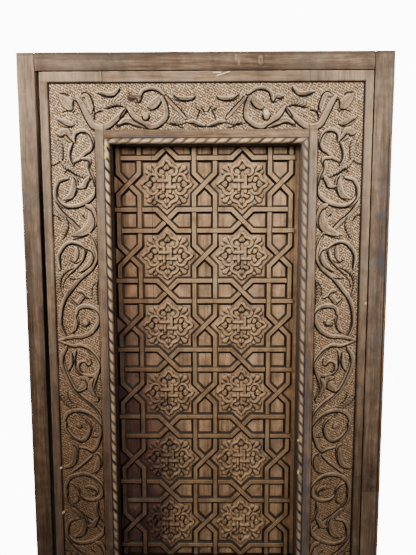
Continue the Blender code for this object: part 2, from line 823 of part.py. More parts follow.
def plate_mesh(name, side, has_middle):
    """Return a plate in its seat, drawn out to the axis at its knuckles."""
    edge = side * GAP_HINGE_SIDE / 2
    front = LEAF_REAR - HINGE_PLATE_WIDTH - AXIS_Y
    rear = LEAF_REAR - AXIS_Y
    half = HINGE_HEIGHT / 2
    if has_middle:
        level = MIDDLE_KNUCKLE_HEIGHT / 2 - TOUCH_GAP
        end_y, middle_y = rear, 0.0
    else:
        level = MIDDLE_KNUCKLE_HEIGHT / 2 + TOUCH_GAP
        end_y, middle_y = 0.0, rear
    upper = [(middle_y, level), (end_y, level), (end_y, half), (front, half)]
    outline = [(y, -z) for y, z in reversed(upper)] + upper
    bm = bmesh.new()
    rings = []
    for x in (edge, edge + side * HINGE_PLATE_THICKNESS):
        rings.append([bm.verts.new((x, y, z)) for y, z in outline])
    add_tube(bm, rings)
    return new_mesh(bm, name)


def make_hinge(number, middle, material, parent):
    """Make one butt hinge: a frame half with the pin, and a leaf half."""
    place = Vector((AXIS_X, AXIS_Y, middle))
    half = HINGE_HEIGHT / 2
    inner = MIDDLE_KNUCKLE_HEIGHT / 2 + TOUCH_GAP
    name = f"hinge_{number}_frame_half"
    frame_half = add_object(name, plate_mesh(name, 1, False), material, place)
    spans = (("lower", -half, -inner), ("upper", inner, half))
    for label, low, high in spans:
        mesh = barrel_mesh(f"{name}_{label}", low, high, KNUCKLE_RADIUS)
        add_boolean(frame_half, mesh.name, mesh, "UNION")
    pin_end = half - TOUCH_GAP
    pin = barrel_mesh(name + "_pin", -pin_end, pin_end, PIN_RADIUS)
    add_boolean(frame_half, pin.name, pin, "UNION")

    name = f"hinge_{number}_leaf_half"
    leaf_half = add_object(name, plate_mesh(name, -1, True), material, place)
    attach(leaf_half, parent)
    inset = MIDDLE_KNUCKLE_HEIGHT / 2 - TOUCH_GAP
    barrel = barrel_mesh(name + "_barrel", -inset, inset, KNUCKLE_RADIUS)
    add_boolean(leaf_half, barrel.name, barrel, "UNION")
    flat = math.cos(math.pi / KNUCKLE_SIDES)
    bore_radius = (PIN_RADIUS + PIN_PLAY) / flat
    bore = barrel_mesh(name + "_bore", -half, half, bore_radius)
    add_boolean(leaf_half, bore.name, bore, "DIFFERENCE")


# Frame

def make_frame(material):
    """Make the two jambs, the head between them and the sill."""
    left = -FRAME_WIDTH / 2
    right = FRAME_WIDTH / 2
    rear = FRONT + FRAME_DEPTH
    jambs = (
        ("frame_jamb_left", left, left + JAMB_LEFT_FACE),
        ("frame_jamb_right", right - JAMB_RIGHT_FACE, right),
    )
    for name, low_x, high_x in jambs:
        box = ((low_x, FRONT, 0.0), (high_x, rear, FRAME_HEIGHT))
        item = add_object(name, box_mesh(name, [box]), material)
        if name == "frame_jamb_right":
            seats = [seat_box(middle, 1, Vector((0, 0, 0))) for middle in hinge_levels()]
            cut_boxes(item, name + "_seats", seats)
    low_x = left + JAMB_LEFT_FACE + TOUCH_GAP
    high_x = right - JAMB_RIGHT_FACE - TOUCH_GAP
    head = ((low_x, FRONT, FRAME_HEIGHT - HEAD_FACE), (high_x, rear, FRAME_HEIGHT))
    add_object("frame_head", box_mesh("frame_head", [head]), material)
    sill = ((low_x, FRONT, 0.0), (high_x, rear, SILL_FACE))
    add_object("frame_sill", box_mesh("frame_sill", [sill]), material)


def attach(item, parent):
    """Hang a piece from the hinge axis and keep its place."""
    item.parent = parent
    item.location = Vector(item.location) - Vector(parent.location)


def make_leaf(wood, rope, steel):
    """Make the hinged leaf around its axis."""
    axis = bpy.data.objects.new("leaf_axis", None)
    axis.location = (AXIS_X, AXIS_Y, 0.0)
    bpy.context.scene.collection.objects.link(axis)
    make_stile("leaf_stile_left", True, wood, axis)
    make_stile("leaf_stile_right", False, wood, axis)
    rails = (
        ("leaf_rail_top", TOP_RAIL_BOTTOM, LEAF_TOP, STRIP_END, ("bottom",)),
        ("leaf_rail_middle", MIDDLE_RAIL_BOTTOM, MIDDLE_RAIL_TOP, BAND_END, ("bottom", "top")),
        ("leaf_rail_bottom", LEAF_BOTTOM, BOTTOM_RAIL_TOP, BAND_END, ("top",)),
    )
    for name, bottom, top, margin, grooves in rails:
        make_rail(name, bottom, top, top - margin, grooves, wood, axis)
    make_panel("leaf_panel_upper", MIDDLE_RAIL_TOP, TOP_RAIL_BOTTOM, wood, axis)
    make_panel("leaf_panel_lower", BOTTOM_RAIL_TOP, MIDDLE_RAIL_BOTTOM, wood, axis)
    make_beads("upper_bead_", MIDDLE_RAIL_TOP, TOP_RAIL_BOTTOM, rope, axis)
    make_beads("lower_bead_", BOTTOM_RAIL_TOP, MIDDLE_RAIL_BOTTOM, rope, axis)
    for number, middle in enumerate(hinge_levels(), start=1):
        make_hinge(number, middle, steel, axis)


def main():
    """Make the whole door."""
    remove_all_objects()
    frame_wood = make_material("frame_wood", (0.20, 0.14, 0.095), 0.62)
    leaf_wood = make_material("carved_wood", (0.22, 0.15, 0.095), 0.55)
    rope_wood = make_material("rope_wood", (0.30, 0.21, 0.13), 0.50)
    hinge_steel = make_material("hinge_steel", (0.17, 0.16, 0.15), 0.50, 0.9)
    make_frame(frame_wood)
    make_leaf(leaf_wood, rope_wood, hinge_steel)


main()
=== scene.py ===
"""Looks of the carved door.

The stiles, rails and panels are carved boards: each is a fine grid whose
front is cut by the strokes of the vine, the rosettes and the tools. Straps
are laid over the panels, and roped beads, frame timber and hinges are
modelled piece by piece. Sizes are in metres, and the strokes of the carving
are listed in millimetres.
"""

import math

import bmesh
import bpy
import numpy as np
from mathutils import Matrix, Vector


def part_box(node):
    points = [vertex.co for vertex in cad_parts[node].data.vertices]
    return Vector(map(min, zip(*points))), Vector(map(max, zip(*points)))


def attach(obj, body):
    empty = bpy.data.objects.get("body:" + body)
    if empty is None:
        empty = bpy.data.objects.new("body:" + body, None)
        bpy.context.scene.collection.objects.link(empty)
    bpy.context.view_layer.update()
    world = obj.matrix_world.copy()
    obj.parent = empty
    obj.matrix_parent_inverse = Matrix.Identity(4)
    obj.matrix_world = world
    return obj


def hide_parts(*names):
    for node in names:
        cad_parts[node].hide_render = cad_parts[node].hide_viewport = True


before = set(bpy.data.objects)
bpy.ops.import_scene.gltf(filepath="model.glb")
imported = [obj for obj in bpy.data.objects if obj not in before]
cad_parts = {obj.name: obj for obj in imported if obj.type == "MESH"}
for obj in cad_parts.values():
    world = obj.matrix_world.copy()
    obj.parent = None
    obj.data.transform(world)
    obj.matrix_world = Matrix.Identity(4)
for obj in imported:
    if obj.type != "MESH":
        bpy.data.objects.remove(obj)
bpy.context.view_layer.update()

MM = 0.001
SEED = 11
NOISE_CELLS = 60

# Places that the frame gives
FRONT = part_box("leaf_stile_left")[0].y
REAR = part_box("leaf_stile_left")[1].y
LEAF_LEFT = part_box("leaf_stile_left")[0].x
LEAF_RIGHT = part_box("leaf_stile_right")[1].x
LEAF_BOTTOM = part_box("leaf_stile_left")[0].z
LEAF_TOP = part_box("leaf_stile_left")[1].z
LEAF_MIDDLE = (LEAF_LEFT + LEAF_RIGHT) / 2
RAIL_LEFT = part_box("leaf_stile_left")[1].x
RAIL_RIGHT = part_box("leaf_stile_right")[0].x
TOP_RAIL_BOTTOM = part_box("leaf_rail_top")[0].z
MIDDLE_RAIL_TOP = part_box("leaf_rail_middle")[1].z
MIDDLE_RAIL_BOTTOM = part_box("leaf_rail_middle")[0].z
BOTTOM_RAIL_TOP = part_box("leaf_rail_bottom")[1].z
JAMB_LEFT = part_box("frame_jamb_left")[1].x
JAMB_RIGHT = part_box("frame_jamb_right")[0].x
HEAD_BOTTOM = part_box("frame_head")[0].z
FRAME_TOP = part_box("frame_head")[1].z
FRAME_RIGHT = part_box("frame_jamb_right")[1].x

# Carved field of the stiles and rails
STRIP_SIDE = 0.021
STRIP_END = 0.026
BAND_END = 0.020
FIELD_WIDTH = 0.117
FIELD_DEPTH = 0.004
BORDER_REACH = 0.006
FIELD_LEFT = LEAF_LEFT + STRIP_SIDE
FIELD_RIGHT = LEAF_RIGHT - STRIP_SIDE
FIELD_TOP = LEAF_TOP - STRIP_END
FIELD_BOTTOM = LEAF_BOTTOM + STRIP_END
VINE_RUN = 0.932

# Grids of the carved boards
FINE_STEP = 0.00168
COARSE_STEP = 0.0021
PANEL_STEP = 0.00188
GROUND_STEP = 0.006
FIELD_WALL = 0.0011
ARRIS_LINE = 0.0012
LEAST_STEP = 0.0004
FINE_MARGIN = 0.002

# Interlace on the panels. Tiles fill the opening between its margins, and the two
# strands of a pair lie STRAP_OFFSET beside the tiles' edges.
PANEL_SETBACK = 0.031
ROPE_WIDTH = 0.018
TOUCH_GAP = 0.0003
TILE_WIDTH = 0.200
TILE_HEIGHT = 0.189
MARGIN_LEFT = 0.0385
MARGIN_RIGHT = 0.0489
STRAP_OFFSET = 0.0278
STRAP_BASE_HALF = 0.0095
STRAP_GROOVE = 0.0012
LEAST_PIECE = 0.006


# Carving strokes: a kind, a width, a side and the points, in millimetres.
# The points follow the deep cut at the form's edge. The form lies on the
# left of the way they run where the side is 1, on the right where it is -1,
# up and outwards from the cut where it is 0, and on the points at MIDDLE.
# Points run across from the field's outer edge and down from its top.
MIDDLE = 9
VINE_HEAD = [
    ("ribbed", 14, MIDDLE, [(17, 139), (25, 155), (27, 174), (30, 193)]),
    ("cut", 3, 0, [(29, 188), (16, 201), (1, 206)]),
    ("band", 12, 0, [(81, 192), (99, 196), (99, 215), (108, 240), (114, 264), (115, 274)]),
    ("ribbed", 15, MIDDLE, [(25, 191), (40, 207), (61, 220), (86, 233), (103, 241)]),
    ("cut", 3, 0, [(34, 227), (44, 216), (60, 227), (76, 235)]),
]
VINE = [
    ("band", 12, 0, [(114, 262), (115, 274), (109, 290), (88, 306), (57, 315), (31, 310), (15, 292),
                     (13, 274), (16, 261), (25, 248), (44, 243)]),
    ("leaf", 19, 0, [(56, 232), (63, 244), (65, 261), (62, 275), (54, 290), (32, 300)]),
    ("leaf", 14, 0, [(103, 238), (93, 252), (89, 262), (79, 266), (65, 265)]),
    ("cut", 3, 0, [(-1, 333), (12, 336), (22, 349)]),
    ("band", 10, -1, [(10, 298), (23, 318), (38, 334), (53, 346), (73, 367), (83, 378)]),
    ("leaf", 26, 0, [(86, 313), (101, 322), (109, 339), (110, 354), (106, 367), (95, 381), (74, 391),
                     (50, 396)]),
    ("cut", 3, 0, [(74, 329), (87, 341)]),
    ("ribbed", 12, MIDDLE, [(33, 339), (35, 357), (31, 375), (25, 393)]),
    ("band", 12, 0, [(95, 381), (107, 399), (115, 423), (116, 447), (105, 471), (91, 486), (69, 504),
                     (46, 532), (28, 556), (19, 581), (15, 609), (17, 630), (27, 655)]),
    ("band", 10, 0, [(17, 474), (15, 444), (21, 429), (34, 413), (48, 407), (62, 409), (75, 415),
                     (83, 424), (82, 438), (76, 453), (60, 471), (41, 489)]),
    ("leaf", 11, MIDDLE, [(60, 415), (60, 429), (58, 444), (53, 454)]),
    ("cut", 3, 0, [(42, 450), (50, 457), (61, 458), (72, 449)]),
    ("leaf", 14, 0, [(85, 423), (97, 427), (104, 441), (98, 462), (82, 477), (69, 486)]),
    ("ribbed", 13, MIDDLE, [(49, 469), (30, 476), (15, 489), (9, 507), (11, 526), (19, 545)]),
    ("cut", 3, 0, [(39, 491), (28, 502), (23, 513), (22, 527)]),
    ("cut", 3, 0, [(37, 498), (50, 501), (69, 497)]),
    ("ribbed", 12, MIDDLE, [(112, 504), (106, 522), (106, 544), (111, 565)]),
    ("cut", 3, 0, [(112, 508), (101, 518), (97, 531), (98, 547)]),
    ("leaf", 14, 0, [(42, 550), (51, 562), (61, 570), (70, 559), (80, 550), (93, 554)]),
    ("leaf", 13, 0, [(58, 535), (71, 538), (83, 550)]),
    ("band", 13, 0, [(57, 599), (61, 585), (70, 579), (83, 577), (100, 581), (112, 591), (117, 605),
                     (115, 619), (107, 635), (94, 649), (71, 659), (42, 661), (20, 666), (9, 671)]),
    ("ball", 13, MIDDLE, [(76, 615), (78, 618)]),
    ("cut", 3, 0, [(64, 619), (69, 627), (78, 629), (88, 623), (90, 611)]),
    ("leaf", 14, 0, [(52, 596), (57, 612), (56, 625), (52, 638), (43, 649)]),
    ("band", 11, 0, [(9, 670), (27, 678), (46, 684), (61, 682), (75, 685), (89, 694), (103, 709),
                     (113, 725), (116, 742), (110, 758), (94, 766), (78, 765), (62, 758), (50, 744),
                     (47, 728), (49, 709), (51, 695)]),
    ("leaf", 9, 0, [(65, 751), (59, 743), (58, 734), (63, 727), (73, 725), (79, 731), (85, 735),
                    (90, 729), (89, 717)]),
    ("leaf", 11, 0, [(39, 699), (41, 720), (38, 736), (30, 752)]),
    ("band", 13, 0, [(28, 683), (26, 693), (18, 706), (15, 721), (17, 737), (23, 755), (32, 778),
                     (45, 802), (66, 824), (89, 843), (107, 863), (116, 882), (118, 901)]),
    ("leaf", 20, 0, [(59, 773), (75, 778), (77, 794), (69, 804), (58, 809), (46, 807)]),
    ("leaf", 13, 0, [(116, 742), (104, 772), (98, 791), (100, 809), (109, 831), (103, 839)]),
    ("leaf", 12, MIDDLE, [(94, 770), (85, 786), (88, 802), (98, 820)]),
    ("ribbed", 15, MIDDLE, [(2, 813), (14, 829), (33, 845), (56, 866), (72, 885)]),
    ("cut", 3, 0, [(24, 805), (23, 815), (28, 829), (39, 840)]),
    ("band", 12, 0, [(18, 899), (17, 886), (26, 871), (45, 863), (67, 865), (89, 876), (106, 893),
                     (115, 909), (113, 931), (106, 954), (98, 970), (87, 978), (74, 971), (60, 968),
                     (45, 964)]),
    ("band", 12, 0, [(18, 893), (20, 912), (33, 932), (45, 942), (59, 948), (70, 944), (80, 931),
                     (84, 915), (81, 898), (69, 881)]),
    ("ball", 12, MIDDLE, [(51, 900), (53, 903)]),
    ("cut", 3, 0, [(83, 932), (95, 936), (106, 931)]),
    ("leaf", 17, 0, [(33, 954), (44, 966), (44, 988), (39, 1011), (26, 1023), (6, 1027)]),
    ("band", 8, 0, [(88, 988), (74, 1003), (56, 1018), (30, 1038)]),
    ("leaf", 20, 0, [(96, 979), (108, 993), (109, 1010), (103, 1030), (92, 1043)]),
    ("band", 12, 0, [(28, 1136), (16, 1116), (13, 1095), (14, 1078), (22, 1061), (35, 1050), (55, 1045),
                     (73, 1046), (92, 1055), (109, 1072), (115, 1090), (111, 1107), (97, 1118),
                     (78, 1120), (62, 1115), (50, 1103), (44, 1085), (34, 1073), (23, 1067)]),
    ("leaf", 14, 0, [(64, 1083), (79, 1083), (93, 1090), (95, 1099), (89, 1106)]),
    ("leaf", 12, 0, [(46, 1112), (41, 1122), (30, 1129)]),
    ("band", 11, -1, [(28, 1133), (45, 1148), (60, 1161), (77, 1173), (97, 1187), (112, 1201)]),
    ("leaf", 13, 0, [(101, 1121), (97, 1145), (102, 1165), (110, 1179)]),
]
# Vine at a top corner, across and down from the field's corner.
CORNER = [
    ("leaf", 26, MIDDLE, [(62, 68), (48, 50), (28, 30)]),
    ("cut", 3, 0, [(28, 26), (41, 26), (54, 32)]),
    ("cut", 3, 0, [(65, 40), (62, 54), (61, 67), (46, 69), (33, 73)]),
    ("leaf", 14, -1, [(82, 29), (88, 25), (96, 24), (105, 30), (111, 43), (115, 58), (116, 74)]),
    ("band", 16, 1, [(66, 40), (76, 54), (86, 76), (97, 98), (107, 112), (120, 118), (136, 119),
                     (155, 113), (172, 99), (190, 82), (203, 66)]),
    ("cut", 3, 0, [(139, 71), (132, 69), (122, 73), (116, 82), (117, 93)]),
    ("leaf", 20, 0, [(21, 91), (35, 101), (48, 107), (61, 110)]),
    ("leaf", 20, 0, [(20, 131), (31, 134), (41, 129), (51, 139), (60, 147), (66, 146)]),
    ("band", 11, 0, [(66, 146), (66, 139), (69, 129), (80, 123), (93, 124), (103, 132), (109, 145),
                     (111, 158), (105, 171), (92, 179), (80, 192), (69, 197), (59, 203)]),
    ("band", 9, 0, [(60, 150), (56, 161), (52, 174), (52, 190), (58, 205)]),
]
# Vine on the left half of a rail, across from the leaf's middle and down.
RAIL = [
    ("leaf", 13, 0, [(-276, 26), (-263, 30), (-247, 34), (-233, 33), (-225, 26), (-215, 16)]),
    ("cut", 3, 0, [(-284, 94), (-286, 82), (-279, 72), (-263, 71)]),
    ("ribbed", 19, MIDDLE, [(-258, 60), (-240, 50), (-222, 47), (-204, 60)]),
    ("cut", 3, 0, [(-251, 65), (-238, 60), (-222, 58), (-208, 61)]),
    ("leaf", 14, MIDDLE, [(-224, 102), (-204, 92), (-182, 98), (-152, 112)]),
    ("cut", 3, 0, [(-206, 65), (-214, 76), (-222, 88)]),
    ("cut", 3, 0, [(-227, 98), (-226, 110), (-216, 105), (-200, 102), (-184, 107), (-164, 113)]),
    ("leaf", 24, 0, [(-146, 69), (-131, 66), (-118, 55), (-108, 35)]),
    ("leaf", 14, 0, [(-197, 35), (-189, 41), (-178, 40), (-173, 47), (-166, 48)]),
    ("band", 14, 1, [(-205, 65), (-196, 77), (-187, 90), (-174, 98), (-158, 107), (-145, 116), (-125, 113),
                     (-109, 103), (-97, 90), (-95, 69), (-100, 47), (-107, 32)]),
    ("band", 10, 1, [(-165, 46), (-163, 35), (-157, 24), (-141, 19), (-124, 22), (-108, 33)]),
    ("ball", 17, MIDDLE, [(-154, 80), (-153, 84)]),
    ("cut", 3, 0, [(-163, 79), (-162, 88), (-156, 94), (-147, 91), (-145, 81)]),
    ("band", 9, -1, [(-99, 32), (-83, 49), (-67, 65), (-49, 86)]),
    ("leaf", 13, 0, [(-83, 30), (-71, 41), (-54, 45), (-37, 44), (-25, 39)]),
    ("ribbed", 24, MIDDLE, [(-97, 98), (-76, 93), (-52, 98)]),
    ("cut", 3, 0, [(-93, 101), (-80, 103), (-67, 110), (-54, 112)]),
    ("leaf", 13, 0, [(-47, 102), (-34, 101), (-18, 107), (-2, 111)]),
    ("cut", 3, 0, [(-28, 64), (-16, 69), (-20, 79), (-25, 93)]),
    ("cut", 3, 0, [(-13, 58), (-9, 66), (-4, 72), (0, 70)]),
]
# One quarter of a rosette, right and up from its middle.
ROSETTE = [
    ("leaf", 9, MIDDLE, [(25, 24), (34, 33)]),
    ("ball", 13, MIDDLE, [(35, 31), (55, 37)]),
    ("ball", 13, MIDDLE, [(31, 35), (37, 55)]),
    ("ball", 14, MIDDLE, [(35, 35), (50, 50)]),
    ("cut", 3.4, MIDDLE, [(38, 34), (56, 44)]),
    ("cut", 3.4, MIDDLE, [(34, 38), (44, 56)]),
    ("ball", 14, MIDDLE, [(-14, 36), (-13, 37)]),
    ("ball", 14, MIDDLE, [(13, 37), (14, 36)]),
    ("leaf", 16, MIDDLE, [(0, 43), (0, 51), (0, 59)]),
    ("ridge", 7, MIDDLE, [(-9, 22), (-14, 26), (-24, 29), (-30, 37), (-29, 47), (-21, 54), (-12, 57),
                          (-8, 66), (0, 72)]),
    ("ridge", 7, MIDDLE, [(9, 22), (14, 26), (24, 29), (30, 37), (29, 47), (21, 54), (12, 57), (8, 66),
                          (0, 72)]),
    ("cut", 4, MIDDLE, [(-18, 45), (-12, 47), (-5, 40), (0, 44), (5, 40), (12, 47), (18, 45)]),
    ("cut", 5, MIDDLE, [(-3, 62), (0, 66), (3, 62)]),
]
# Crossed ridges at a rosette's middle, in the order that they pass over.
ROSETTE_KNOT = [
    ("ridge", 8, MIDDLE, [(-10, -24), (-10, 24)]),
    ("ridge", 8, MIDDLE, [(-24, 10), (24, 10)]),
    ("ridge", 8, MIDDLE, [(10, -24), (10, 24)]),
    ("ridge", 8, MIDDLE, [(-24, -10), (24, -10)]),
    ("ridge", 8, MIDDLE, [(-10, -18), (-10, -2)]),
]


# Sizes of the carving, in millimetres, with its depths, darkness and wear.

CORNER_REACH = 208
PATH_SPACING = 3.0
STROKE_MARGIN = 30
ROSETTE_DRAWN_REACH = 75.0
ROSETTE_REACH_X = 68.0
ROSETTE_REACH_Z = 64.0
ROSETTE_MARGIN = 3

# Way that the deep cuts face, across and down. The cuts' painted shade is strongest on this side.
DEEP_ACROSS = 0.55
DEEP_DOWN = 0.83

# The cut beside a form. It gets wider towards the door's top.
CUT_WIDTH = 3.8
CUT_DEPTH = 2.4
TOP_CUT_EXTRA = 1.3
WIDER_FROM = 1300
WIDER_OVER = 300
ROSETTE_CUT_DEPTH = 1.8
GROOVE_TAPER = 7.0
LEAST_DARK = 0.3
ROSETTE_LEAST_DARK = 0.55

# A form's wall is steeper, and the trench beside it wider, towards the deep cut.
STAMP_MARGIN = 4
WALL_FAR = 2.4
WALL_STEEPER = 1.5
TRENCH_NEAR = 1.6
TRENCH_WIDER = 2.0
TRENCH_DEPTH = 2.3
RIM_IN = 1.5
RIM_HALF = 1.3
RIB_PITCH = 8.0
VEIN_HALF = 0.8
VEINED_WIDTH = 12
LIFT = {"band": 2.7, "leaf": 2.5, "ribbed": 2.8, "ball": 3.4}
ROSETTE_LIFT = {"ridge": 5.0, "leaf": 3.4, "ball": 3.6}
CREST = {"band": 0.14, "leaf": 0.10, "ribbed": 0.30, "ball": 0.30, "ridge": 0.30}

# Worn arrises
WEAR_REACH = 1.3
OUTER_WEAR = 1.3
JOINT_WEAR = 0.45


# Carving tools: uneven surfaces, paths, forms and cuts

def uneven(x, z, size, seed):
    """Return smooth noise between -1 and 1 whose bumps are about a size wide."""
    grid = np.random.default_rng(SEED + seed).uniform(-1, 1, (NOISE_CELLS + 1, NOISE_CELLS + 1))
    u = (x / size) % NOISE_CELLS
    v = (z / size) % NOISE_CELLS
    i = u.astype(int)
    j = v.astype(int)
    fu = u - i
    fv = v - j
    fu = fu * fu * (3 - 2 * fu)
    fv = fv * fv * (3 - 2 * fv)
    low = grid[i, j] * (1 - fu) + grid[i + 1, j] * fu
    high = grid[i, j + 1] * (1 - fu) + grid[i + 1, j + 1] * fu
    return low * (1 - fv) + high * fv


def smooth_path(points, spacing):
    """Return points along a smooth curve through a stroke's own points."""
    points = np.array(points, float)
    if len(points) < 3:
        return points
    ends = np.vstack([2 * points[0] - points[1], points, 2 * points[-1] - points[-2]])
    path = []
    for index in range(1, len(ends) - 2):
        a, b, c, d = ends[index - 1:index + 3]
        count = max(2, int(np.linalg.norm(c - b) / spacing))
        for step in range(count):
            t = step / count
            path.append(0.5 * (2 * b + (c - a) * t + (2 * a - 5 * b + 4 * c - d) * t ** 2
                               + (3 * b - a - 3 * c + d) * t ** 3))
    path.append(points[-1])
    return np.array(path)


def beside(path, width, side):
    """Return a form's middle line from the cut at its edge."""
    if side == MIDDLE:
        return path
    along = np.gradient(path, axis=0)
    along /= np.maximum(np.linalg.norm(along, axis=1), 0.01)[:, None]
    normal = np.stack([along[:, 1], -along[:, 0]], axis=1)
    if side == 0:
        share = -(normal[:, 0] * DEEP_ACROSS + normal[:, 1] * DEEP_DOWN)
    else:
        share = np.full(len(path), float(side))
    return path + normal * (share * width / 2)[:, None]


def measure_to_path(x, z, path):
    """Return the distance and way to a path, the side and the place along it."""
    steps = np.diff(path, axis=0)
    lengths = np.maximum(np.linalg.norm(steps, axis=1), 0.01)
    starts = np.concatenate([[0.0], np.cumsum(lengths)])
    nearest = np.full(x.shape, np.inf)
    side = np.zeros(x.shape)
    along = np.zeros(x.shape)
    away_x = np.zeros(x.shape)
    away_z = np.zeros(x.shape)
    for (px, pz), (sx, sz), length, start in zip(path, steps, lengths, starts):
        t = np.clip(((x - px) * sx + (z - pz) * sz) / length ** 2, 0, 1)
        dx = x - px - t * sx
        dz = z - pz - t * sz
        distance = np.hypot(dx, dz)
        closer = distance < nearest
        nearest[closer] = distance[closer]
        side[closer] = np.sign(sx * dz - sz * dx)[closer]
        along[closer] = (start + t * length)[closer]
        away_x[closer] = dx[closer]
        away_z[closer] = dz[closer]
    size = np.maximum(nearest, 0.01)
    return nearest, (away_x / size, away_z / size), side, along, starts[-1]


def half_width(kind, width, share):
    """Return half the width of a stroke along its length."""
    half = width / 2
    if kind == "band":
        return half * np.minimum(1.0, 0.45 + 4 * share) * (1 - 0.5 * share ** 5)
    if kind in ("leaf", "ribbed"):
        return half * np.clip(np.sin(np.pi * (0.05 + 0.93 * share ** 0.9)), 0, 1) ** 0.75
    return half + 0 * share


def soft_step(value):
    """Return a smooth step from 0 to 1."""
    value = np.clip(value, 0, 1)
    return value * value * (3 - 2 * value)


def near_path(relief, path, reach):
    """Return which points of a relief lie in the box around a path."""
    x, z = relief["x"], relief["z"]
    near = (x > path[:, 0].min() - reach) & (x < path[:, 0].max() + reach)
    near &= (z > path[:, 1].min() - reach) & (z < path[:, 1].max() + reach)
    return near


def stamp(relief, kind, width, path, lift, deep, least=LEAST_DARK):
    """Carve one form into a relief, with a deep cut on the side that deep faces.

    The relief's arrays are in millimetres: plan x and z, height, and the masks
    for cuts painted dark as shade, rubbed crowns and punched ground. The painted
    shade is strongest on the side that deep faces; on the other sides the cut
    is still as dark as least.
    """
    near = near_path(relief, path, width / 2 + STAMP_MARGIN)
    if not near.any():
        return
    distance, away, side, along, total = measure_to_path(relief["x"][near], relief["z"][near], path)
    share = along / total
    half = half_width(kind, width, share)
    inside = half - distance
    across = np.clip(distance / np.maximum(half, 0.3), 0, 1)
    facing = soft_step(0.5 + 0.62 * (away[0] * deep[0] + away[1] * deep[1]))
    height, cut, rub, stipple = (relief[key][near] for key in ("height", "cut", "rub", "stipple"))

    edge = soft_step(inside / (WALL_FAR - WALL_STEEPER * facing))
    dome = np.sqrt(np.maximum(0, 1 - across ** 2))
    rim = np.exp(-((inside - RIM_IN) / RIM_HALF) ** 2)
    grooves = np.zeros_like(edge)
    own_stipple = 0.0
    if kind == "band":
        form = lift * edge * (0.90 + 0.10 * across * (1 - facing))
    elif kind == "leaf":
        form = lift * edge * (0.78 + 0.22 * rim)
        veined = (share > 0.12) * (share < 0.85) * (width > VEINED_WIDTH)
        grooves = 0.7 * np.exp(-(distance / VEIN_HALF) ** 2) * veined
        own_stipple = 0.30 * (1 - rim) * (inside > 2.4)
    elif kind == "ribbed":
        wave = (along - 0.9 * distance) / RIB_PITCH
        to_rib = np.abs((wave % 1) - 0.5) * RIB_PITCH
        grooves = soft_step(1.5 - to_rib / 1.5) * (distance > 0.6)
        form = lift * edge * (0.70 + 0.30 * soft_step(to_rib / 3.0))
    elif kind == "ridge":
        form = lift * edge * (0.84 + 0.16 * rim)
    else:
        form = lift * edge * (0.6 + 0.4 * dome)
    form = form - 0.28 * lift * grooves

    here = inside > 0
    height[here] = form[here]
    # Painted shade: the form's wall towards deep, and its veins and ribs, are painted dark.
    cut[here] = np.clip(0.75 * grooves + 0.5 * facing * soft_step(1 - inside / 1.2), 0, 1)[here]
    # Rubbed crowns, and a painted highlight on the rim away from the deep side.
    rim_highlight = 0.85 * rim if kind == "ridge" else (1 - 0.75 * facing) * rim
    crest = np.maximum(rim_highlight, CREST[kind] * (dome if kind in ("ball", "ribbed") else edge))
    rub[here] = (crest * (1 - grooves))[here]
    stipple[here] = (own_stipple + 0 * edge)[here]

    outside = ~here
    # The trench beside the form is painted dark as shade, most on the side that deep faces.
    trench = soft_step(1.35 * (1 + inside / (TRENCH_NEAR + TRENCH_WIDER * facing)))
    strength = least + (1 - least) * facing
    height -= np.where(outside, trench * facing * TRENCH_DEPTH, 0)
    cut[outside] = np.maximum(cut, trench * strength)[outside]
    rub[outside] *= (1 - trench)[outside]
    for key, values in (("height", height), ("cut", cut), ("rub", rub), ("stipple", stipple)):
        relief[key][near] = values


def groove(relief, path, width, depth):
    """Cut one V-shaped line that thins out towards its ends."""
    near = near_path(relief, path, width + 2)
    if not near.any():
        return
    distance, _, _, along, total = measure_to_path(relief["x"][near], relief["z"][near], path)
    fade = soft_step(np.minimum(along, total - along) / GROOVE_TAPER + 0.25)
    half = width / 2 * (0.5 + 0.5 * fade)
    shape = soft_step(1.6 * (1 - distance / np.maximum(half, 0.5)))
    relief["height"][near] -= shape * depth * fade
    # The line is painted dark as shade in the cut.
    relief["cut"][near] = np.maximum(relief["cut"][near], shape * (0.35 + 0.65 * fade))
    relief["rub"][near] *= 1 - shape


def new_relief(x, z):
    """Return a flat relief over a plan given in metres."""
    relief = {key: np.zeros(x.shape) for key in ("height", "cut", "rub", "stipple")}
    return relief | {"x": x / MM, "z": z / MM}


# Vine of the whole leaf, in leaf coordinates

def place_stroke(stroke, origin, sign_x, sign_z):
    """Return a stroke's form and cut lines on the leaf, in millimetres."""
    kind, width, side, points = stroke
    cut_line = smooth_path(points, PATH_SPACING)
    form_line = beside(cut_line, width, side)
    turn = np.array([sign_x, sign_z])
    start = np.array(origin) / MM
    deep = (DEEP_ACROSS * sign_x, DEEP_DOWN * sign_z)
    return kind, width, side, start + form_line * turn, start + cut_line * turn, deep


def leaf_strokes():
    """Return every stroke of the stiles and rails, placed on the leaf."""
    height = (FIELD_TOP - FIELD_BOTTOM) / MM
    column = []
    for start in (0, VINE_RUN / MM):
        for kind, width, side, points in VINE:
            moved = [(a, d + start) for a, d in points]
            if max(d for a, d in moved) < height - CORNER_REACH:
                column.append((kind, width, side, moved))
    upright = CORNER + VINE_HEAD + column
    laid = []
    for edge, sign_x in ((FIELD_LEFT, 1), (FIELD_RIGHT, -1)):
        laid += [place_stroke(stroke, (edge, FIELD_TOP), sign_x, -1) for stroke in upright]
        laid += [place_stroke(stroke, (edge, FIELD_BOTTOM), sign_x, 1) for stroke in CORNER]
    for level, sign_z in ((FIELD_TOP, -1), (MIDDLE_RAIL_TOP - BAND_END, -1), (FIELD_BOTTOM, 1)):
        for sign_x in (1, -1):
            laid += [place_stroke(stroke, (LEAF_MIDDLE, level), sign_x, sign_z) for stroke in RAIL]
    return laid


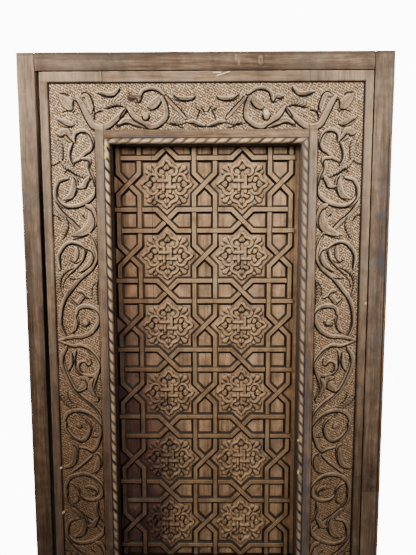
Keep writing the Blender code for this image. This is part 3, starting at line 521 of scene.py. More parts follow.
def inside_measure(x, z):
    """Return how far points lie inside the sunk fields (negative outside)."""
    columns = (
        (FIELD_LEFT, FIELD_LEFT + FIELD_WIDTH, FIELD_BOTTOM, FIELD_TOP),
        (FIELD_RIGHT - FIELD_WIDTH, FIELD_RIGHT, FIELD_BOTTOM, FIELD_TOP),
        (FIELD_LEFT, FIELD_RIGHT, FIELD_TOP - FIELD_WIDTH, FIELD_TOP),
        (FIELD_LEFT, FIELD_RIGHT, FIELD_BOTTOM, FIELD_BOTTOM + FIELD_WIDTH),
        (RAIL_LEFT, RAIL_RIGHT, MIDDLE_RAIL_BOTTOM + BAND_END, MIDDLE_RAIL_TOP - BAND_END),
    )
    measure = np.full(x.shape, -np.inf)
    for x0, x1, z0, z1 in columns:
        here = np.minimum(np.minimum(x - x0, x1 - x), np.minimum(z - z0, z1 - z))
        measure = np.maximum(measure, here)
    return measure


def border_shade_strength(x, z):
    """Return how much painted shade lines the sunk field's border: most along the outer edges."""
    outer_x = np.minimum(np.abs(x - FIELD_LEFT), np.abs(x - FIELD_RIGHT)) < BORDER_REACH
    outer_z = np.minimum(np.abs(z - FIELD_TOP), np.abs(z - FIELD_BOTTOM)) < BORDER_REACH
    wave = 0.5 + 0.5 * uneven(x, z, 0.050, 7)
    inner = np.where(z > TOP_RAIL_BOTTOM, 0.12, 0.30 + 0.35 * wave)
    side = np.where(x > LEAF_MIDDLE, 1.0, 0.62 + 0.38 * wave)
    return np.where(outer_z, 1.0, np.where(outer_x, side, inner))


def carve_leaf(x, z, strokes):
    """Return the relief of the leaf's face at some points."""
    flat_x, flat_z = x.ravel(), z.ravel()
    relief = new_relief(flat_x, flat_z)
    relief["stipple"] += 1.0
    for kind, width, side, form_line, cut_line, deep in strokes:
        if kind != "cut":
            stamp(relief, kind, width, form_line, LIFT[kind], deep)
        if side != MIDDLE:
            raised = float(np.clip((cut_line[:, 1].mean() - WIDER_FROM) / WIDER_OVER, 0, 1))
            groove(relief, cut_line, CUT_WIDTH + TOP_CUT_EXTRA * raised, CUT_DEPTH)
    inside = inside_measure(flat_x, flat_z) / MM
    sunk = np.clip(inside, 0, 1)
    tool = 0.30 * uneven(flat_x, flat_z, 0.007, 1) + 0.25 * uneven(flat_x, flat_z, 0.018, 2)
    height = sunk * (relief["height"] + tool * relief["stipple"] - FIELD_DEPTH / MM)
    height = np.minimum(height, 0.0)
    height += 0.12 * uneven(flat_x, flat_z, 0.060, 3)
    # Painted shade along the sunk field's border wall.
    border_shade = np.clip(1.25 - np.abs(inside - 1.2) / 2.0, 0, 1) * border_shade_strength(flat_x, flat_z)
    return {
        "height": height.reshape(x.shape),
        "cut": np.clip(relief["cut"] * sunk + border_shade, 0, 1).reshape(x.shape),
        "rub": (relief["rub"] * sunk).reshape(x.shape),
        "stipple": (relief["stipple"] * (inside > 1.2)).reshape(x.shape),
    }


# Boards

def grid_lines(low, high, step, edges):
    """Return grid lines from low to high, closer together beside each edge."""
    count = max(2, int(round((high - low) / step)) + 1)
    lines = list(np.linspace(low, high, count))
    for edge in edges:
        if low < edge < high:
            lines = [line for line in lines if abs(line - edge) > step * 0.6]
            lines += [edge, edge + FIELD_WALL * np.sign((low + high) / 2 - edge)]
    lines += [low + ARRIS_LINE, high - ARRIS_LINE]
    lines = sorted(lines)
    kept = [lines[0]]
    for line in lines[1:]:
        if line - kept[-1] > LEAST_STEP:
            kept.append(line)
    return np.array(kept)


def thin_out(lines, low, high):
    """Keep every third grid line outside a span, and the two at each end."""
    last = len(lines) - 1
    kept = [line for number, line in enumerate(lines)
            if low < line < high or number % 3 == 0 or number < 2 or number > last - 2]
    return np.array(kept)


def set_masks(mesh, masks):
    """Store each point's masks for the materials: cut (painted shade), rubbed (wear and painted highlight),
    punched and 1.
    """
    layer = mesh.color_attributes.new("carving", "FLOAT_COLOR", "POINT")
    layer.data.foreach_set("color", np.array(masks, np.float32).ravel())


def add_item(name, mesh, material):
    """Put a mesh with its material in the scene."""
    mesh.materials.append(material)
    item = bpy.data.objects.new(name, mesh)
    bpy.context.scene.collection.objects.link(item)
    return item


def board(name, xs, zs, relief, front, rear, material):
    """Make a closed board whose front is a grid cut by its relief."""
    count_x, count_z = len(xs), len(zs)
    x, z = np.meshgrid(xs, zs, indexing="ij")
    y = front - relief["height"] * MM
    points = np.stack([x, y, z], axis=-1).reshape(-1, 3)
    index = np.arange(count_x * count_z).reshape(count_x, count_z)
    quads = np.stack([index[:-1, :-1], index[1:, :-1], index[1:, 1:], index[:-1, 1:]], axis=-1)
    rim = np.concatenate([index[:, 0], index[-1, 1:], index[-2::-1, -1], index[0, -2:0:-1]])
    back = points[rim].copy()
    back[:, 1] = rear
    back_index = np.arange(len(rim)) + len(points)
    faces = quads.reshape(-1, 4).tolist()
    front_count = len(faces)
    after = np.roll(np.arange(len(rim)), -1)
    faces += np.stack([rim, back_index, back_index[after], rim[after]], axis=-1).tolist()
    faces.append(back_index[::-1].tolist())
    mesh = bpy.data.meshes.new(name)
    mesh.from_pydata(np.vstack([points, back]).tolist(), [], faces)
    smooth = np.zeros(len(faces), bool)
    smooth[:front_count] = True
    mesh.polygons.foreach_set("use_smooth", smooth)
    masks = np.zeros((len(points) + len(back), 4))
    for channel, key in enumerate(("cut", "rub", "stipple")):
        masks[:len(points), channel] = relief[key].ravel()
    masks[:, 3] = 1.0
    set_masks(mesh, masks)
    return add_item(name, mesh, material)


def wear_edges(relief, x, z, box, outer_edges):
    """Round a board's arrises, more where the edge is the leaf's own."""
    (x0, x1), (z0, z1) = box
    edges = {"left": x - x0, "right": x1 - x, "bottom": z - z0, "top": z1 - z}
    ragged = 0.8 + 0.5 * uneven(x, z, 0.011, 5)
    for side, distance in edges.items():
        near = np.clip(1 - distance / MM / WEAR_REACH, 0, 1)
        if side in outer_edges:
            relief["height"] -= OUTER_WEAR * near * ragged
            relief["rub"] = np.maximum(relief["rub"], near * 0.8)
        else:
            relief["height"] -= JOINT_WEAR * near * ragged
            relief["rub"] = np.maximum(relief["rub"], near * 0.2)
            relief["cut"] = np.maximum(relief["cut"], near * 0.6 * (1 - 0.7 * relief["stipple"]))


def strokes_near(strokes, low, high):
    """Return the strokes that may reach into a box given in metres."""
    least = np.array(low) / MM - STROKE_MARGIN
    most = np.array(high) / MM + STROKE_MARGIN
    near = []
    for stroke in strokes:
        form_line = stroke[3]
        if (form_line.max(axis=0) >= least).all() and (form_line.min(axis=0) <= most).all():
            near.append(stroke)
    return near


def make_member(node, x_edges, z_edges, step, strokes, outer_edges, material, x_limits=None):
    """Carve one stile or rail and let it stand for its node."""
    low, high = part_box(node)
    x0, x1 = x_limits if x_limits else (low.x, high.x)
    xs = grid_lines(x0, x1, step, x_edges)
    if x_edges:
        xs = thin_out(xs, min(x_edges) - FINE_MARGIN, max(x_edges) + FINE_MARGIN)
    zs = grid_lines(low.z, high.z, step, z_edges)
    x, z = np.meshgrid(xs, zs, indexing="ij")
    relief = carve_leaf(x, z, strokes_near(strokes, (x0, low.z), (x1, high.z)))
    wear_edges(relief, x, z, ((x0, x1), (low.z, high.z)), outer_edges)
    item = board("carved_" + node.replace("leaf_", ""), xs, zs, relief, FRONT, REAR, material)
    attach(item, "leaf")
    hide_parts(node)


def make_members(upright, level):
    """Carve the two stiles and the three rails."""
    strokes = leaf_strokes()
    left_edges = (FIELD_LEFT, FIELD_LEFT + FIELD_WIDTH)
    right_edges = (FIELD_RIGHT, FIELD_RIGHT - FIELD_WIDTH)
    z_edges = (
        FIELD_BOTTOM, FIELD_TOP, FIELD_BOTTOM + FIELD_WIDTH, FIELD_TOP - FIELD_WIDTH,
        MIDDLE_RAIL_TOP - BAND_END, MIDDLE_RAIL_BOTTOM + BAND_END,
    )
    for side, x_edges in (("left", left_edges), ("right", right_edges)):
        outer = (side, "top", "bottom")
        make_member("leaf_stile_" + side, x_edges, z_edges, FINE_STEP, strokes, outer, upright)
    limits = (RAIL_LEFT + TOUCH_GAP, RAIL_RIGHT - TOUCH_GAP)
    for rail, step in (("top", FINE_STEP), ("middle", COARSE_STEP), ("bottom", COARSE_STEP)):
        outer = () if rail == "middle" else (rail,)
        make_member("leaf_rail_" + rail, (), z_edges, step, strokes, outer, level, limits)


# Panels

def rosette_strokes(centre):
    """Return the strokes of one rosette around its middle, in millimetres."""
    strokes = []
    for kind, width, side, points in ROSETTE:
        for turn in range(4):
            moved = points
            for _ in range(turn):
                moved = [(z, -x) for x, z in moved]
            strokes.append((kind, width, side, moved))
    strokes += ROSETTE_KNOT
    scale = np.array([ROSETTE_REACH_X, ROSETTE_REACH_Z]) / ROSETTE_DRAWN_REACH
    return [(kind, width, np.array(centre) + smooth_path(points, PATH_SPACING) * scale)
            for kind, width, side, points in strokes]


def panel_layout(node_low_z, node_high_z):
    """Return an opening's corners and the tiles that fill it."""
    x0 = RAIL_LEFT + ROPE_WIDTH + TOUCH_GAP
    x1 = RAIL_RIGHT - ROPE_WIDTH - TOUCH_GAP
    z0 = node_low_z + ROPE_WIDTH + TOUCH_GAP
    z1 = node_high_z - ROPE_WIDTH - TOUCH_GAP
    columns = round((x1 - x0 - MARGIN_LEFT - MARGIN_RIGHT) / TILE_WIDTH)
    rows = max(1, round((z1 - z0) / TILE_HEIGHT))
    tile_width = (x1 - x0 - MARGIN_LEFT - MARGIN_RIGHT) / columns
    tile_height = (z1 - z0) / rows
    return x0, x1, z0, z1, columns, rows, tile_width, tile_height


def panel_lines(low, high, centres, reach):
    """Return grid lines that are close together only across the rosettes."""
    margin = (reach + ROSETTE_MARGIN) * MM
    marks = [low]
    for centre in centres:
        marks += [centre - margin, centre + margin]
    marks.append(high)
    lines = []
    for number, (start, end) in enumerate(zip(marks, marks[1:])):
        step = PANEL_STEP if number % 2 else GROUND_STEP
        count = max(1, int(round((end - start) / step)))
        lines += list(np.linspace(start, end, count, endpoint=False))
    lines.append(high)
    return np.array(lines)


def make_panel(node, low_z, high_z, material, strap_material):
    """Carve one panel: its ground and rosettes, then the straps on it."""
    x0, x1, z0, z1, columns, rows, tile_width, tile_height = panel_layout(low_z, high_z)
    centres_x = [x0 + MARGIN_LEFT + (column + 0.5) * tile_width for column in range(columns)]
    centres_z = [z0 + (row + 0.5) * tile_height for row in range(rows)]
    low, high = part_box(node)
    xs = panel_lines(low.x, high.x, centres_x, ROSETTE_REACH_X)
    zs = panel_lines(low.z, high.z, centres_z, ROSETTE_REACH_Z)
    x, z = np.meshgrid(xs, zs, indexing="ij")
    flat_x, flat_z = x.ravel(), z.ravel()
    relief = new_relief(flat_x, flat_z)
    deep = (DEEP_ACROSS, -DEEP_DOWN)
    for cx in centres_x:
        for cz in centres_z:
            for kind, width, path in rosette_strokes((cx / MM, cz / MM)):
                if kind == "cut":
                    groove(relief, path, width, ROSETTE_CUT_DEPTH)
                else:
                    stamp(relief, kind, width, path, ROSETTE_LIFT[kind], deep, ROSETTE_LEAST_DARK)
    tool = 0.20 * uneven(flat_x, flat_z, 0.008, 1) + 0.15 * uneven(flat_x, flat_z, 0.03, 2)
    relief["height"] = (relief["height"] + tool).reshape(x.shape)
    for key in ("cut", "rub", "stipple"):
        relief[key] = np.clip(relief[key], 0, 1).reshape(x.shape)
    name = "carved_" + node.replace("leaf_", "")
    item = board(name, xs, zs, relief, FRONT + PANEL_SETBACK, high.y, material)
    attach(item, "leaf")
    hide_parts(node)
    straps = make_straps(node, low_z, high_z, strap_material)
    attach(straps, "leaf")


def strand_pieces(events):
    """Split a strand into the pieces between the crossings it dives under."""
    pieces = []
    path = []
    trimmed = False
    for point, kind in events:
        path.append(point)
        if kind == "under":
            pieces.append((path, trimmed, True))
            path = [point]
            trimmed = True
        elif kind == "over":
            path.pop()
    pieces.append((path, trimmed, False))
    return [piece for piece in pieces if len(piece[0]) > 1 and has_room(*piece)]


def has_room(path, trimmed_start, trimmed_end):
    """Tell whether a piece is still long enough once its ends are cut."""
    length = sum((two - one).length for one, two in zip(path, path[1:]))
    return length > (STRAP_BASE_HALF + STRAP_GROOVE) * (trimmed_start + trimmed_end) + LEAST_PIECE


def strand(place, side, count, step, reach, skip_first):
    """Return the pieces of one strand of a pair, which crosses its partner between tiles.

    place turns a length along the strand and a share of STRAP_OFFSET across it
    into a point. The strand starts on one side, reaches past the first and the
    last crossing pair, and may start below that pair's outer strand.
    """
    events = [(place(-reach, side), "end")]
    for crossing in range(count + 1):
        along = crossing * step
        for half in (-1, 1):
            if skip_first and crossing == 0 and half == -1:
                continue
            kind = "over" if side * half < 0 else "under"
            events.append((place(along + half * STRAP_OFFSET, side), kind))
        if crossing == count:
            break
        middle = along + step / 2
        events.append((place(middle - STRAP_OFFSET, side), "bend"))
        events.append((place(middle, 0), "over" if side > 0 else "under"))
        side = -side
        events.append((place(middle + STRAP_OFFSET, side), "bend"))
    events.append((place(count * step + reach, side), "end"))
    return strand_pieces(events)


def upright_strand(column_x, side, top_z, rows, tile_height):
    """Return the pieces of one strand of an upright pair, from its top down."""
    def place(along, across):
        return Vector((column_x + across * STRAP_OFFSET, top_z - along))

    return strand(place, side, rows, tile_height, 2 * STRAP_BASE_HALF, True)


def level_strand(row_z, side, first_x, columns, tile_width):
    """Return the pieces of one strand of a level pair, from its left end."""
    def place(along, across):
        return Vector((first_x + along, row_z + across * STRAP_OFFSET))

    return strand(place, side, columns, tile_width, STRAP_OFFSET + STRAP_BASE_HALF, False)


# Section of a strap in millimetres: offset, height, how much of the flank's painted
# shade it takes (1 for all of it) and how rubbed it is. The outermost points lie on
# the ground and paint a shadow beside the strap. The right half mirrors the left one.
STRAP_ARRIS = 5.1
STRAP_FLANK = [
    (-11.4, -1.5, 1.0, 0.0), (-11.4, 0.15, 0.6, 0.0), (-10.6, 0.3, 1.0, 0.0), (-9.0, 1.1, 1.0, 0.0),
    (-5.6, 4.6, 1.0, 0.0), (-STRAP_ARRIS, 5.3, 0.0, 0.5), (-4.4, 5.9, 0.0, 1.0), (-3.2, 5.8, 0.0, 0.45),
]
STRAP_MIDDLE = (0.0, 5.9, 0.0, 0.3)
STRAP_SECTION = STRAP_FLANK + [STRAP_MIDDLE] + [(-place[0], *place[1:]) for place in STRAP_FLANK[::-1]]

# A strap's sections are at least this far apart, and a trimmed end leans with
# the flank that it meets.
STATION_STEP = 0.022
TRIM_AT_FOOT = 9.9
TRIM_LEAN = 0.6

# Painted shade on a strap's flanks, by the way that they face
FLANK_SHADE_BELOW = 1.0
FLANK_SHADE_ABOVE = 0.72
FLANK_SHADE_LEFT = 0.78
FLANK_SHADE_RIGHT = 0.50


def corner_frame(path, index):
    """Return a path corner's side direction, its mitre stretch and the way it is reached."""
    before = (path[index] - path[index - 1]).normalized() if index else None
    after = (path[index + 1] - path[index]).normalized() if index < len(path) - 1 else None
    before = before or after
    after = after or before
    along = (before + after).normalized()
    return Vector((-along.y, along.x)), 1 / max(0.5, along.dot(after)), before


def strap_stations(path):
    """Return the places of a strap's sections: point, side, end (-1, 0 or 1) and way."""
    last = len(path) - 1
    stations = []
    for index, point in enumerate(path):
        side, stretch, before = corner_frame(path, index)
        end = -1 if index == 0 else int(index == last)
        stations.append((point, side * stretch, end, before))
        if index < last:
            gap = path[index + 1] - point
            count = int(gap.length / STATION_STEP)
            straight = Vector((-gap.y, gap.x)).normalized()
            for step in range(1, count):
                stations.append((point + gap * step / count, straight, 0, gap.normalized()))
    return stations


def flank_masks(side, offset, foot, rub):
    """Return a strap's painted shade and rub at one point of its section, with arrises shaded on uprights
    and a painted highlight on level ones.
    """
    normal = side.normalized() * (1 if offset > 0 else -1)
    level = min(1.0, 1.5 * abs(normal.y))
    if abs(offset) == STRAP_ARRIS:
        return 0.5 * (1 - level), rub * level
    on_level = FLANK_SHADE_BELOW if normal.y < 0 else FLANK_SHADE_ABOVE
    on_upright = FLANK_SHADE_LEFT if normal.x < 0 else FLANK_SHADE_RIGHT
    return foot * (on_upright + (on_level - on_upright) * level), rub


def add_strap(bm, layer, path, trim_start, trim_end, front):
    """Sweep a strap's section along a path, ends cut along the flank they meet."""
    rings = []
    for point, side, end, along in strap_stations(path):
        trimmed = trim_start if end < 0 else trim_end
        ring = []
        for offset, height, foot, rub in STRAP_SECTION:
            place = point + side * offset * MM
            if end and trimmed:
                cut_back = (TRIM_AT_FOOT - max(height, 0) * TRIM_LEAN) * MM + STRAP_GROOVE
                place -= along * cut_back * end
            vert = bm.verts.new((place.x, front - height * MM, place.y))
            vert[layer] = (*flank_masks(side, offset, foot, rub), 0.0, 1.0)
            ring.append(vert)
        rings.append(ring)
    for near, far in zip(rings, rings[1:]):
        for index in range(len(near)):
            after = (index + 1) % len(near)
            bm.faces.new((near[index], near[after], far[after], far[index]))
    bm.faces.new(rings[0])
    bm.faces.new(rings[-1])


def make_straps(node, low_z, high_z, material):
    """Lay all the straps of one panel."""
    x0, x1, z0, z1, columns, rows, tile_width, tile_height = panel_layout(low_z, high_z)
    left = x0 + MARGIN_LEFT
    paths = []
    for column in range(columns + 1):
        for side in (-1, 1):
            paths += upright_strand(left + column * tile_width, side, z1, rows, tile_height)
    for row in range(rows + 1):
        for side in (-1, 1):
            paths += level_strand(z1 - row * tile_height, side, left, columns, tile_width)
    bm = bmesh.new()
    layer = bm.verts.layers.float_color.new("carving")
    for path, start, end in paths:
        add_strap(bm, layer, path, start, end, FRONT + PANEL_SETBACK)
    planes = (
        ((x0, 0, 0), (-1, 0, 0)), ((x1, 0, 0), (1, 0, 0)),
        ((0, 0, z0), (0, 0, -1)), ((0, 0, z1), (0, 0, 1)),
    )
    for point, normal in planes:
        geometry = list(bm.verts) + list(bm.edges) + list(bm.faces)
        bmesh.ops.bisect_plane(
            bm, geom=geometry, dist=1e-6, plane_co=point, plane_no=normal, clear_outer=True)
        rim = [edge for edge in bm.edges if edge.is_boundary]
        if rim:
            bmesh.ops.holes_fill(bm, edges=rim, sides=0)
    bmesh.ops.recalc_face_normals(bm, faces=bm.faces)
    name = "straps_" + node.replace("leaf_", "")
    mesh = bpy.data.meshes.new(name)
    bm.to_mesh(mesh)
    bm.free()
    mesh.shade_smooth()
    mesh.set_sharp_from_angle(angle=math.radians(35))
    return add_item(name, mesh, material)


# Roped beads, in millimetres. Across a bead the points stand closer at its sides.

ROPE_ACROSS = [0.0, 0.6, 1.6, 3.0, 4.8, 6.8, 9.0, 11.2, 13.2, 15.0, 16.4, 17.4, 18.0]
ROPE_HALF = ROPE_ACROSS[-1] / 2
# The rope is painted lightest at ROPE_BRIGHTEST across it, a painted highlight, and gets painted shade
# towards its sides.
ROPE_BRIGHTEST = 8
ROPE_STEP = 2.4
ROPE_CROWN = 6.5
ROPE_SUNK = -1.2
ROPE_EDGE = 8.0
ROPE_PITCH = 28.0
ROPE_LEAN = 9.5
FURROW_HALF = 4.2
FURROW_DEPTH = 2.6
# Painted shade in the furrows, darker on the upright beads than on the level ones.
LEVEL_FURROW_SHADE = 0.72
UPRIGHT_FURROW_SHADE = 1.0
FURROW_WEAR = np.random.default_rng(SEED).uniform(0.50, 1.0, 64)
BEAD_WALL = PANEL_SETBACK / MM - 0.3


def rope_height(u, s, slant):
    """Return a rope's height in millimetres and how deep its furrow is.

    u runs across the bead from its outer edge, s along it.
    """
    across = (u - ROPE_HALF) / ROPE_HALF
    round_form = np.sqrt(np.maximum(0.0, 1 - across ** 2))
    phase = (s + slant * ROPE_LEAN * (across + 0.3 * across ** 3)) / ROPE_PITCH
    share = phase % 1.0
    to_furrow = np.minimum(share, 1 - share) * ROPE_PITCH
    wear = FURROW_WEAR[np.floor(phase + 0.5).astype(int) % len(FURROW_WEAR)]
    furrow = np.exp(-(to_furrow / FURROW_HALF) ** 2) * wear
    swell = np.sin(np.pi * share) ** 0.6
    height = ROPE_SUNK + (ROPE_CROWN + 1.0) * round_form * (0.72 + 0.28 * swell)
    return height - furrow * FURROW_DEPTH * (0.4 + 0.6 * round_form), furrow


def bead_section(u, s, height, furrow, shade):
    """Return a section's points: across, along, height, painted shade and rubbed (wear with a painted
    highlight).
    """
    # The bead's wall below the rope is painted dark as shade.
    section = [(0.0, s[0], -BEAD_WALL, 0.5, 0.0)]
    for across, along, up, dip in zip(u, s, height, furrow):
        off = abs(across - ROPE_BRIGHTEST) / 10
        side_shade = 0.75 * min(1.0, max(0.0, off - 0.35) / 0.5)
        rub = max(0.0, 1 - 1.6 * dip) * (1 - off) ** 1.5
        section.append((across, along, up, max(shade * dip, side_shade), rub))
    section.append((u[-1], s[-1], -ROPE_EDGE, 0.55, 0.0))
    section.append((u[-1], s[-1], -BEAD_WALL, 0.95, 0.0))
    return section


def make_bead(node, along_x, sign, slant, material):
    """Make one mitred bead: a rope on top and a plain wall below it.

    sign is the direction from the bead's outer side to its inner side.
    """
    low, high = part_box(node)
    if along_x:
        start, end = low.x, high.x
        outer = high.z if sign < 0 else low.z
    else:
        start, end = low.z, high.z
        outer = low.x if sign > 0 else high.x
    length = (end - start) / MM
    count = int(length / ROPE_STEP)
    verts = []
    masks = []
    u = np.array(ROPE_ACROSS)
    for step in range(count + 1):
        s = u + (length - 2 * u) * (step / count)
        height, furrow = rope_height(u, s - length / 2, slant)
        shade = LEVEL_FURROW_SHADE if along_x else UPRIGHT_FURROW_SHADE
        for across, along, up, dark, rub in bead_section(u, s, height, furrow, shade):
            place = outer + sign * across * MM
            run = start + along * MM
            y = FRONT - up * MM
            verts.append((run, y, place) if along_x else (place, y, run))
            masks.append((dark, rub * max(0.0, min(1.0, (up + 2) / 6)), 0.0, 1.0))
    size = len(ROPE_ACROSS) + 3
    faces = []
    for one in range(0, count * size, size):
        two = one + size
        for index in range(size):
            after = (index + 1) % size
            faces.append((one + index, one + after, two + after, two + index))
    faces.append(tuple(range(size)))
    faces.append(tuple(range(count * size, (count + 1) * size)))
    mesh = bpy.data.meshes.new("rope_" + node)
    mesh.from_pydata(verts, [], faces)
    set_masks(mesh, masks)
    bm = bmesh.new()
    bm.from_mesh(mesh)
    bmesh.ops.recalc_face_normals(bm, faces=bm.faces)
    bm.to_mesh(mesh)
    bm.free()
    mesh.shade_smooth()
    mesh.set_sharp_from_angle(angle=math.radians(50))
    item = add_item("rope_" + node, mesh, material)
    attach(item, "leaf")
    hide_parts(node)


def make_beads(material):
    """Make the four beads of each opening."""
    for level in ("upper", "lower"):
        make_bead(level + "_bead_top", True, -1, 1, material)
        make_bead(level + "_bead_bottom", True, 1, -1, material)
        make_bead(level + "_bead_left", False, 1, 1, material)
        make_bead(level + "_bead_right", False, -1, -1, material)


# Frame timber, modelled as by hand

TIMBER_CUT = 0.014
ARRIS_WEAR = 0.0016


def deselect_all():
    """Leave nothing selected."""
    for item in bpy.context.selected_objects:
        item.select_set(False)


def eased_block(location, size, ease):
    """Add a block with eased edges at its place."""
    deselect_all()
    bpy.ops.mesh.primitive_cube_add(size=1.0, location=location)
    block = bpy.context.object
    block.dimensions = size
    bpy.ops.object.transform_apply(location=True, rotation=False, scale=True)
    bpy.ops.object.mode_set(mode="EDIT")
    bpy.ops.mesh.select_all(action="SELECT")
    bpy.ops.mesh.bevel(offset=ease, segments=2, affect="EDGES")
    bpy.ops.object.mode_set(mode="OBJECT")
    return block


def timber(name, node, long_axis, ease, wear_pattern, material):
    """Make one frame timber with eased, worn arrises."""
    low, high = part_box(node)
    item = eased_block((low + high) / 2, high - low, ease)
    item.name = name
    item.data.name = name
    bpy.ops.object.mode_set(mode="EDIT")
    length = (high - low)[long_axis]
    cuts = int(length / TIMBER_CUT)
    direction = Vector((0, 0, 0))
    direction[long_axis] = 1
    for cut in range(1, cuts):
        place = low + direction * (length * cut / cuts)
        bpy.ops.mesh.select_all(action="SELECT")
        bpy.ops.mesh.bisect(plane_co=place, plane_no=direction)
    bpy.ops.object.mode_set(mode="OBJECT")

    middle = (low + high) / 2
    half = (high - low) / 2
    arrises = []
    for vert in item.data.vertices:
        from_edge = [half[a] - abs(vert.co[a] - middle[a]) for a in range(3) if a != long_axis]
        if max(from_edge) < ease * 1.1:
            arrises.append(vert.index)
    group = item.vertex_groups.new(name="arrises")
    group.add(arrises, 1.0, "REPLACE")
    wear = item.modifiers.new("worn_arrises", "DISPLACE")
    wear.texture = wear_pattern
    wear.texture_coords = "LOCAL"
    wear.vertex_group = group.name
    wear.mid_level = 0.0
    wear.strength = -ARRIS_WEAR
    bpy.ops.object.modifier_apply(modifier=wear.name)
    bpy.ops.object.shade_smooth_by_angle(angle=math.radians(50))
    item.data.materials.clear()
    item.data.materials.append(material)
    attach(item, "frame")
    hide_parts(node)


def make_frame_timber(upright, level):
    """Make the jambs, the head and the sill."""
    wear_pattern = bpy.data.textures.new("arris_wear", "CLOUDS")
    wear_pattern.noise_scale = 0.05
    timber("timber_jamb_left", "frame_jamb_left", 2, 0.0016, wear_pattern, upright)
    timber("timber_jamb_right", "frame_jamb_right", 2, 0.0018, wear_pattern, upright)
    timber("timber_head", "frame_head", 0, 0.0014, wear_pattern, level)
    timber("timber_sill", "frame_sill", 0, 0.0014, wear_pattern, level)


# Butt hinges, modelled as by hand: the lowest one, then two copies.

HINGE_AXIS_X = (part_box("hinge_1_leaf_half")[0].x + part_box("hinge_1_frame_half")[1].x) / 2
HINGE_RADIUS = 0.006
HINGE_AXIS_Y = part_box("hinge_1_leaf_half")[1].y - HINGE_RADIUS
HINGE_HALF_HEIGHT = 0.050
MIDDLE_KNUCKLE_HALF = 0.020
PLATE_THICKNESS = 0.0025
PLATE_PROUD = 0.00025
PLATE_EASE = 0.0003
HALF_GAP = 0.0015
TAB_OVERLAP = 0.002
TAB_SHORTER = 0.0004
SCREW_SUNK = 0.0004
SCREW_RADIUS = 0.0034
SCREW_HEAD = 0.0012
SLOT_HALF = 0.0004
SLOT_DEPTH = 0.0006
# Insets that shape a knuckle's end from its rim to the pin: width and rise.
KNUCKLE_RINGS = ((0.0006, 0.0), (0.0024, 0.0), (0.0003, -0.0003), (0.0004, 0.0005))
# Screws, from the plate's front edge and from its middle height
SCREW_PLACES = ((0.010, -0.036), (0.019, -0.018), (0.019, 0.018), (0.010, 0.036))


def select_faces(item, wanted):
    """Select only the faces that a test on middle and normal picks."""
    for face in item.data.polygons:
        face.select = wanted(face.center, face.normal)
    for edge in item.data.edges:
        edge.select = False
    for vert in item.data.vertices:
        vert.select = False
    for face in item.data.polygons:
        if face.select:
            for index in face.vertices:
                item.data.vertices[index].select = True


def knuckle(middle_z, low, high):
    """Add one knuckle of a barrel with eased rims and a pin's end on top."""
    deselect_all()
    place = (HINGE_AXIS_X, HINGE_AXIS_Y, middle_z + (low + high) / 2)
    bpy.ops.mesh.primitive_cylinder_add(
        vertices=28, radius=HINGE_RADIUS, depth=high - low, location=place)
    barrel = bpy.context.object
    bpy.ops.object.transform_apply(location=True, rotation=False, scale=True)
    bpy.ops.object.mode_set(mode="EDIT")
    bpy.ops.mesh.select_mode(type="FACE")
    bpy.ops.object.mode_set(mode="OBJECT")
    select_faces(barrel, lambda centre, normal: abs(normal.z) > 0.9)
    bpy.ops.object.mode_set(mode="EDIT")
    for thickness, depth in KNUCKLE_RINGS:
        bpy.ops.mesh.inset(thickness=thickness, depth=depth)
    bpy.ops.object.mode_set(mode="OBJECT")
    return barrel


def screw(place, side):
    """Add one slotted screw head that lies in a plate."""
    deselect_all()
    bpy.ops.mesh.primitive_cylinder_add(
        vertices=20, radius=SCREW_RADIUS, depth=SCREW_HEAD, location=place,
        rotation=(0, math.radians(90), 0))
    head = bpy.context.object
    bpy.ops.object.transform_apply(location=True, rotation=True, scale=True)
    bpy.ops.object.mode_set(mode="EDIT")
    bpy.ops.mesh.select_mode(type="FACE")
    for offset in (-SLOT_HALF, SLOT_HALF):
        bpy.ops.mesh.select_all(action="SELECT")
        cut = Vector(place) + Vector((0, offset, offset))
        bpy.ops.mesh.bisect(plane_co=cut, plane_no=(0, 1, 1))
    bpy.ops.object.mode_set(mode="OBJECT")

    def in_slot(centre, normal):
        off = abs((centre - Vector(place)).dot(Vector((0, 1, 1))))
        return normal.x * -side > 0.9 and off < SLOT_DEPTH

    select_faces(head, in_slot)
    bpy.ops.object.mode_set(mode="EDIT")
    bpy.ops.mesh.extrude_region_move(TRANSFORM_OT_translate={"value": (side * SLOT_DEPTH, 0, 0)})
    bpy.ops.object.mode_set(mode="OBJECT")
    return head


def hinge_half(name, side, spans, middle_z, material):
    """Model one half: plate in its seat, tabs, knuckles and screws.

    side is -1 for the leaf's half and 1 for the frame's.
    """
    edge = HINGE_AXIS_X + side * (HALF_GAP - PLATE_PROUD)
    plate_x = edge + side * PLATE_THICKNESS / 2
    front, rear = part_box("hinge_1_leaf_half")[0].y, REAR
    plate = (PLATE_THICKNESS, rear - front, 2 * HINGE_HALF_HEIGHT)
    pieces = [eased_block((plate_x, (front + rear) / 2, middle_z), plate, PLATE_EASE)]
    for low, high in spans:
        place = (plate_x, (rear + HINGE_AXIS_Y - TAB_OVERLAP) / 2, middle_z + (low + high) / 2)
        size = (PLATE_THICKNESS, HINGE_AXIS_Y - rear + TAB_OVERLAP, high - low - TAB_SHORTER)
        pieces.append(eased_block(place, size, PLATE_EASE))
        pieces.append(knuckle(middle_z, low, high))
    for offset_y, offset_z in SCREW_PLACES:
        place = (edge + side * SCREW_SUNK, front + offset_y, middle_z + offset_z)
        pieces.append(screw(place, side))
    deselect_all()
    for piece in pieces:
        piece.select_set(True)
    bpy.context.view_layer.objects.active = pieces[0]
    bpy.ops.object.join()
    item = bpy.context.object
    item.name = name
    item.data.name = name
    bpy.ops.object.shade_smooth_by_angle(angle=math.radians(35))
    item.data.materials.clear()
    item.data.materials.append(material)
    return item


def place_hinge_half(item, node, body):
    """Let a hinge half stand for its node."""
    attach(item, body)
    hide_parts(node)


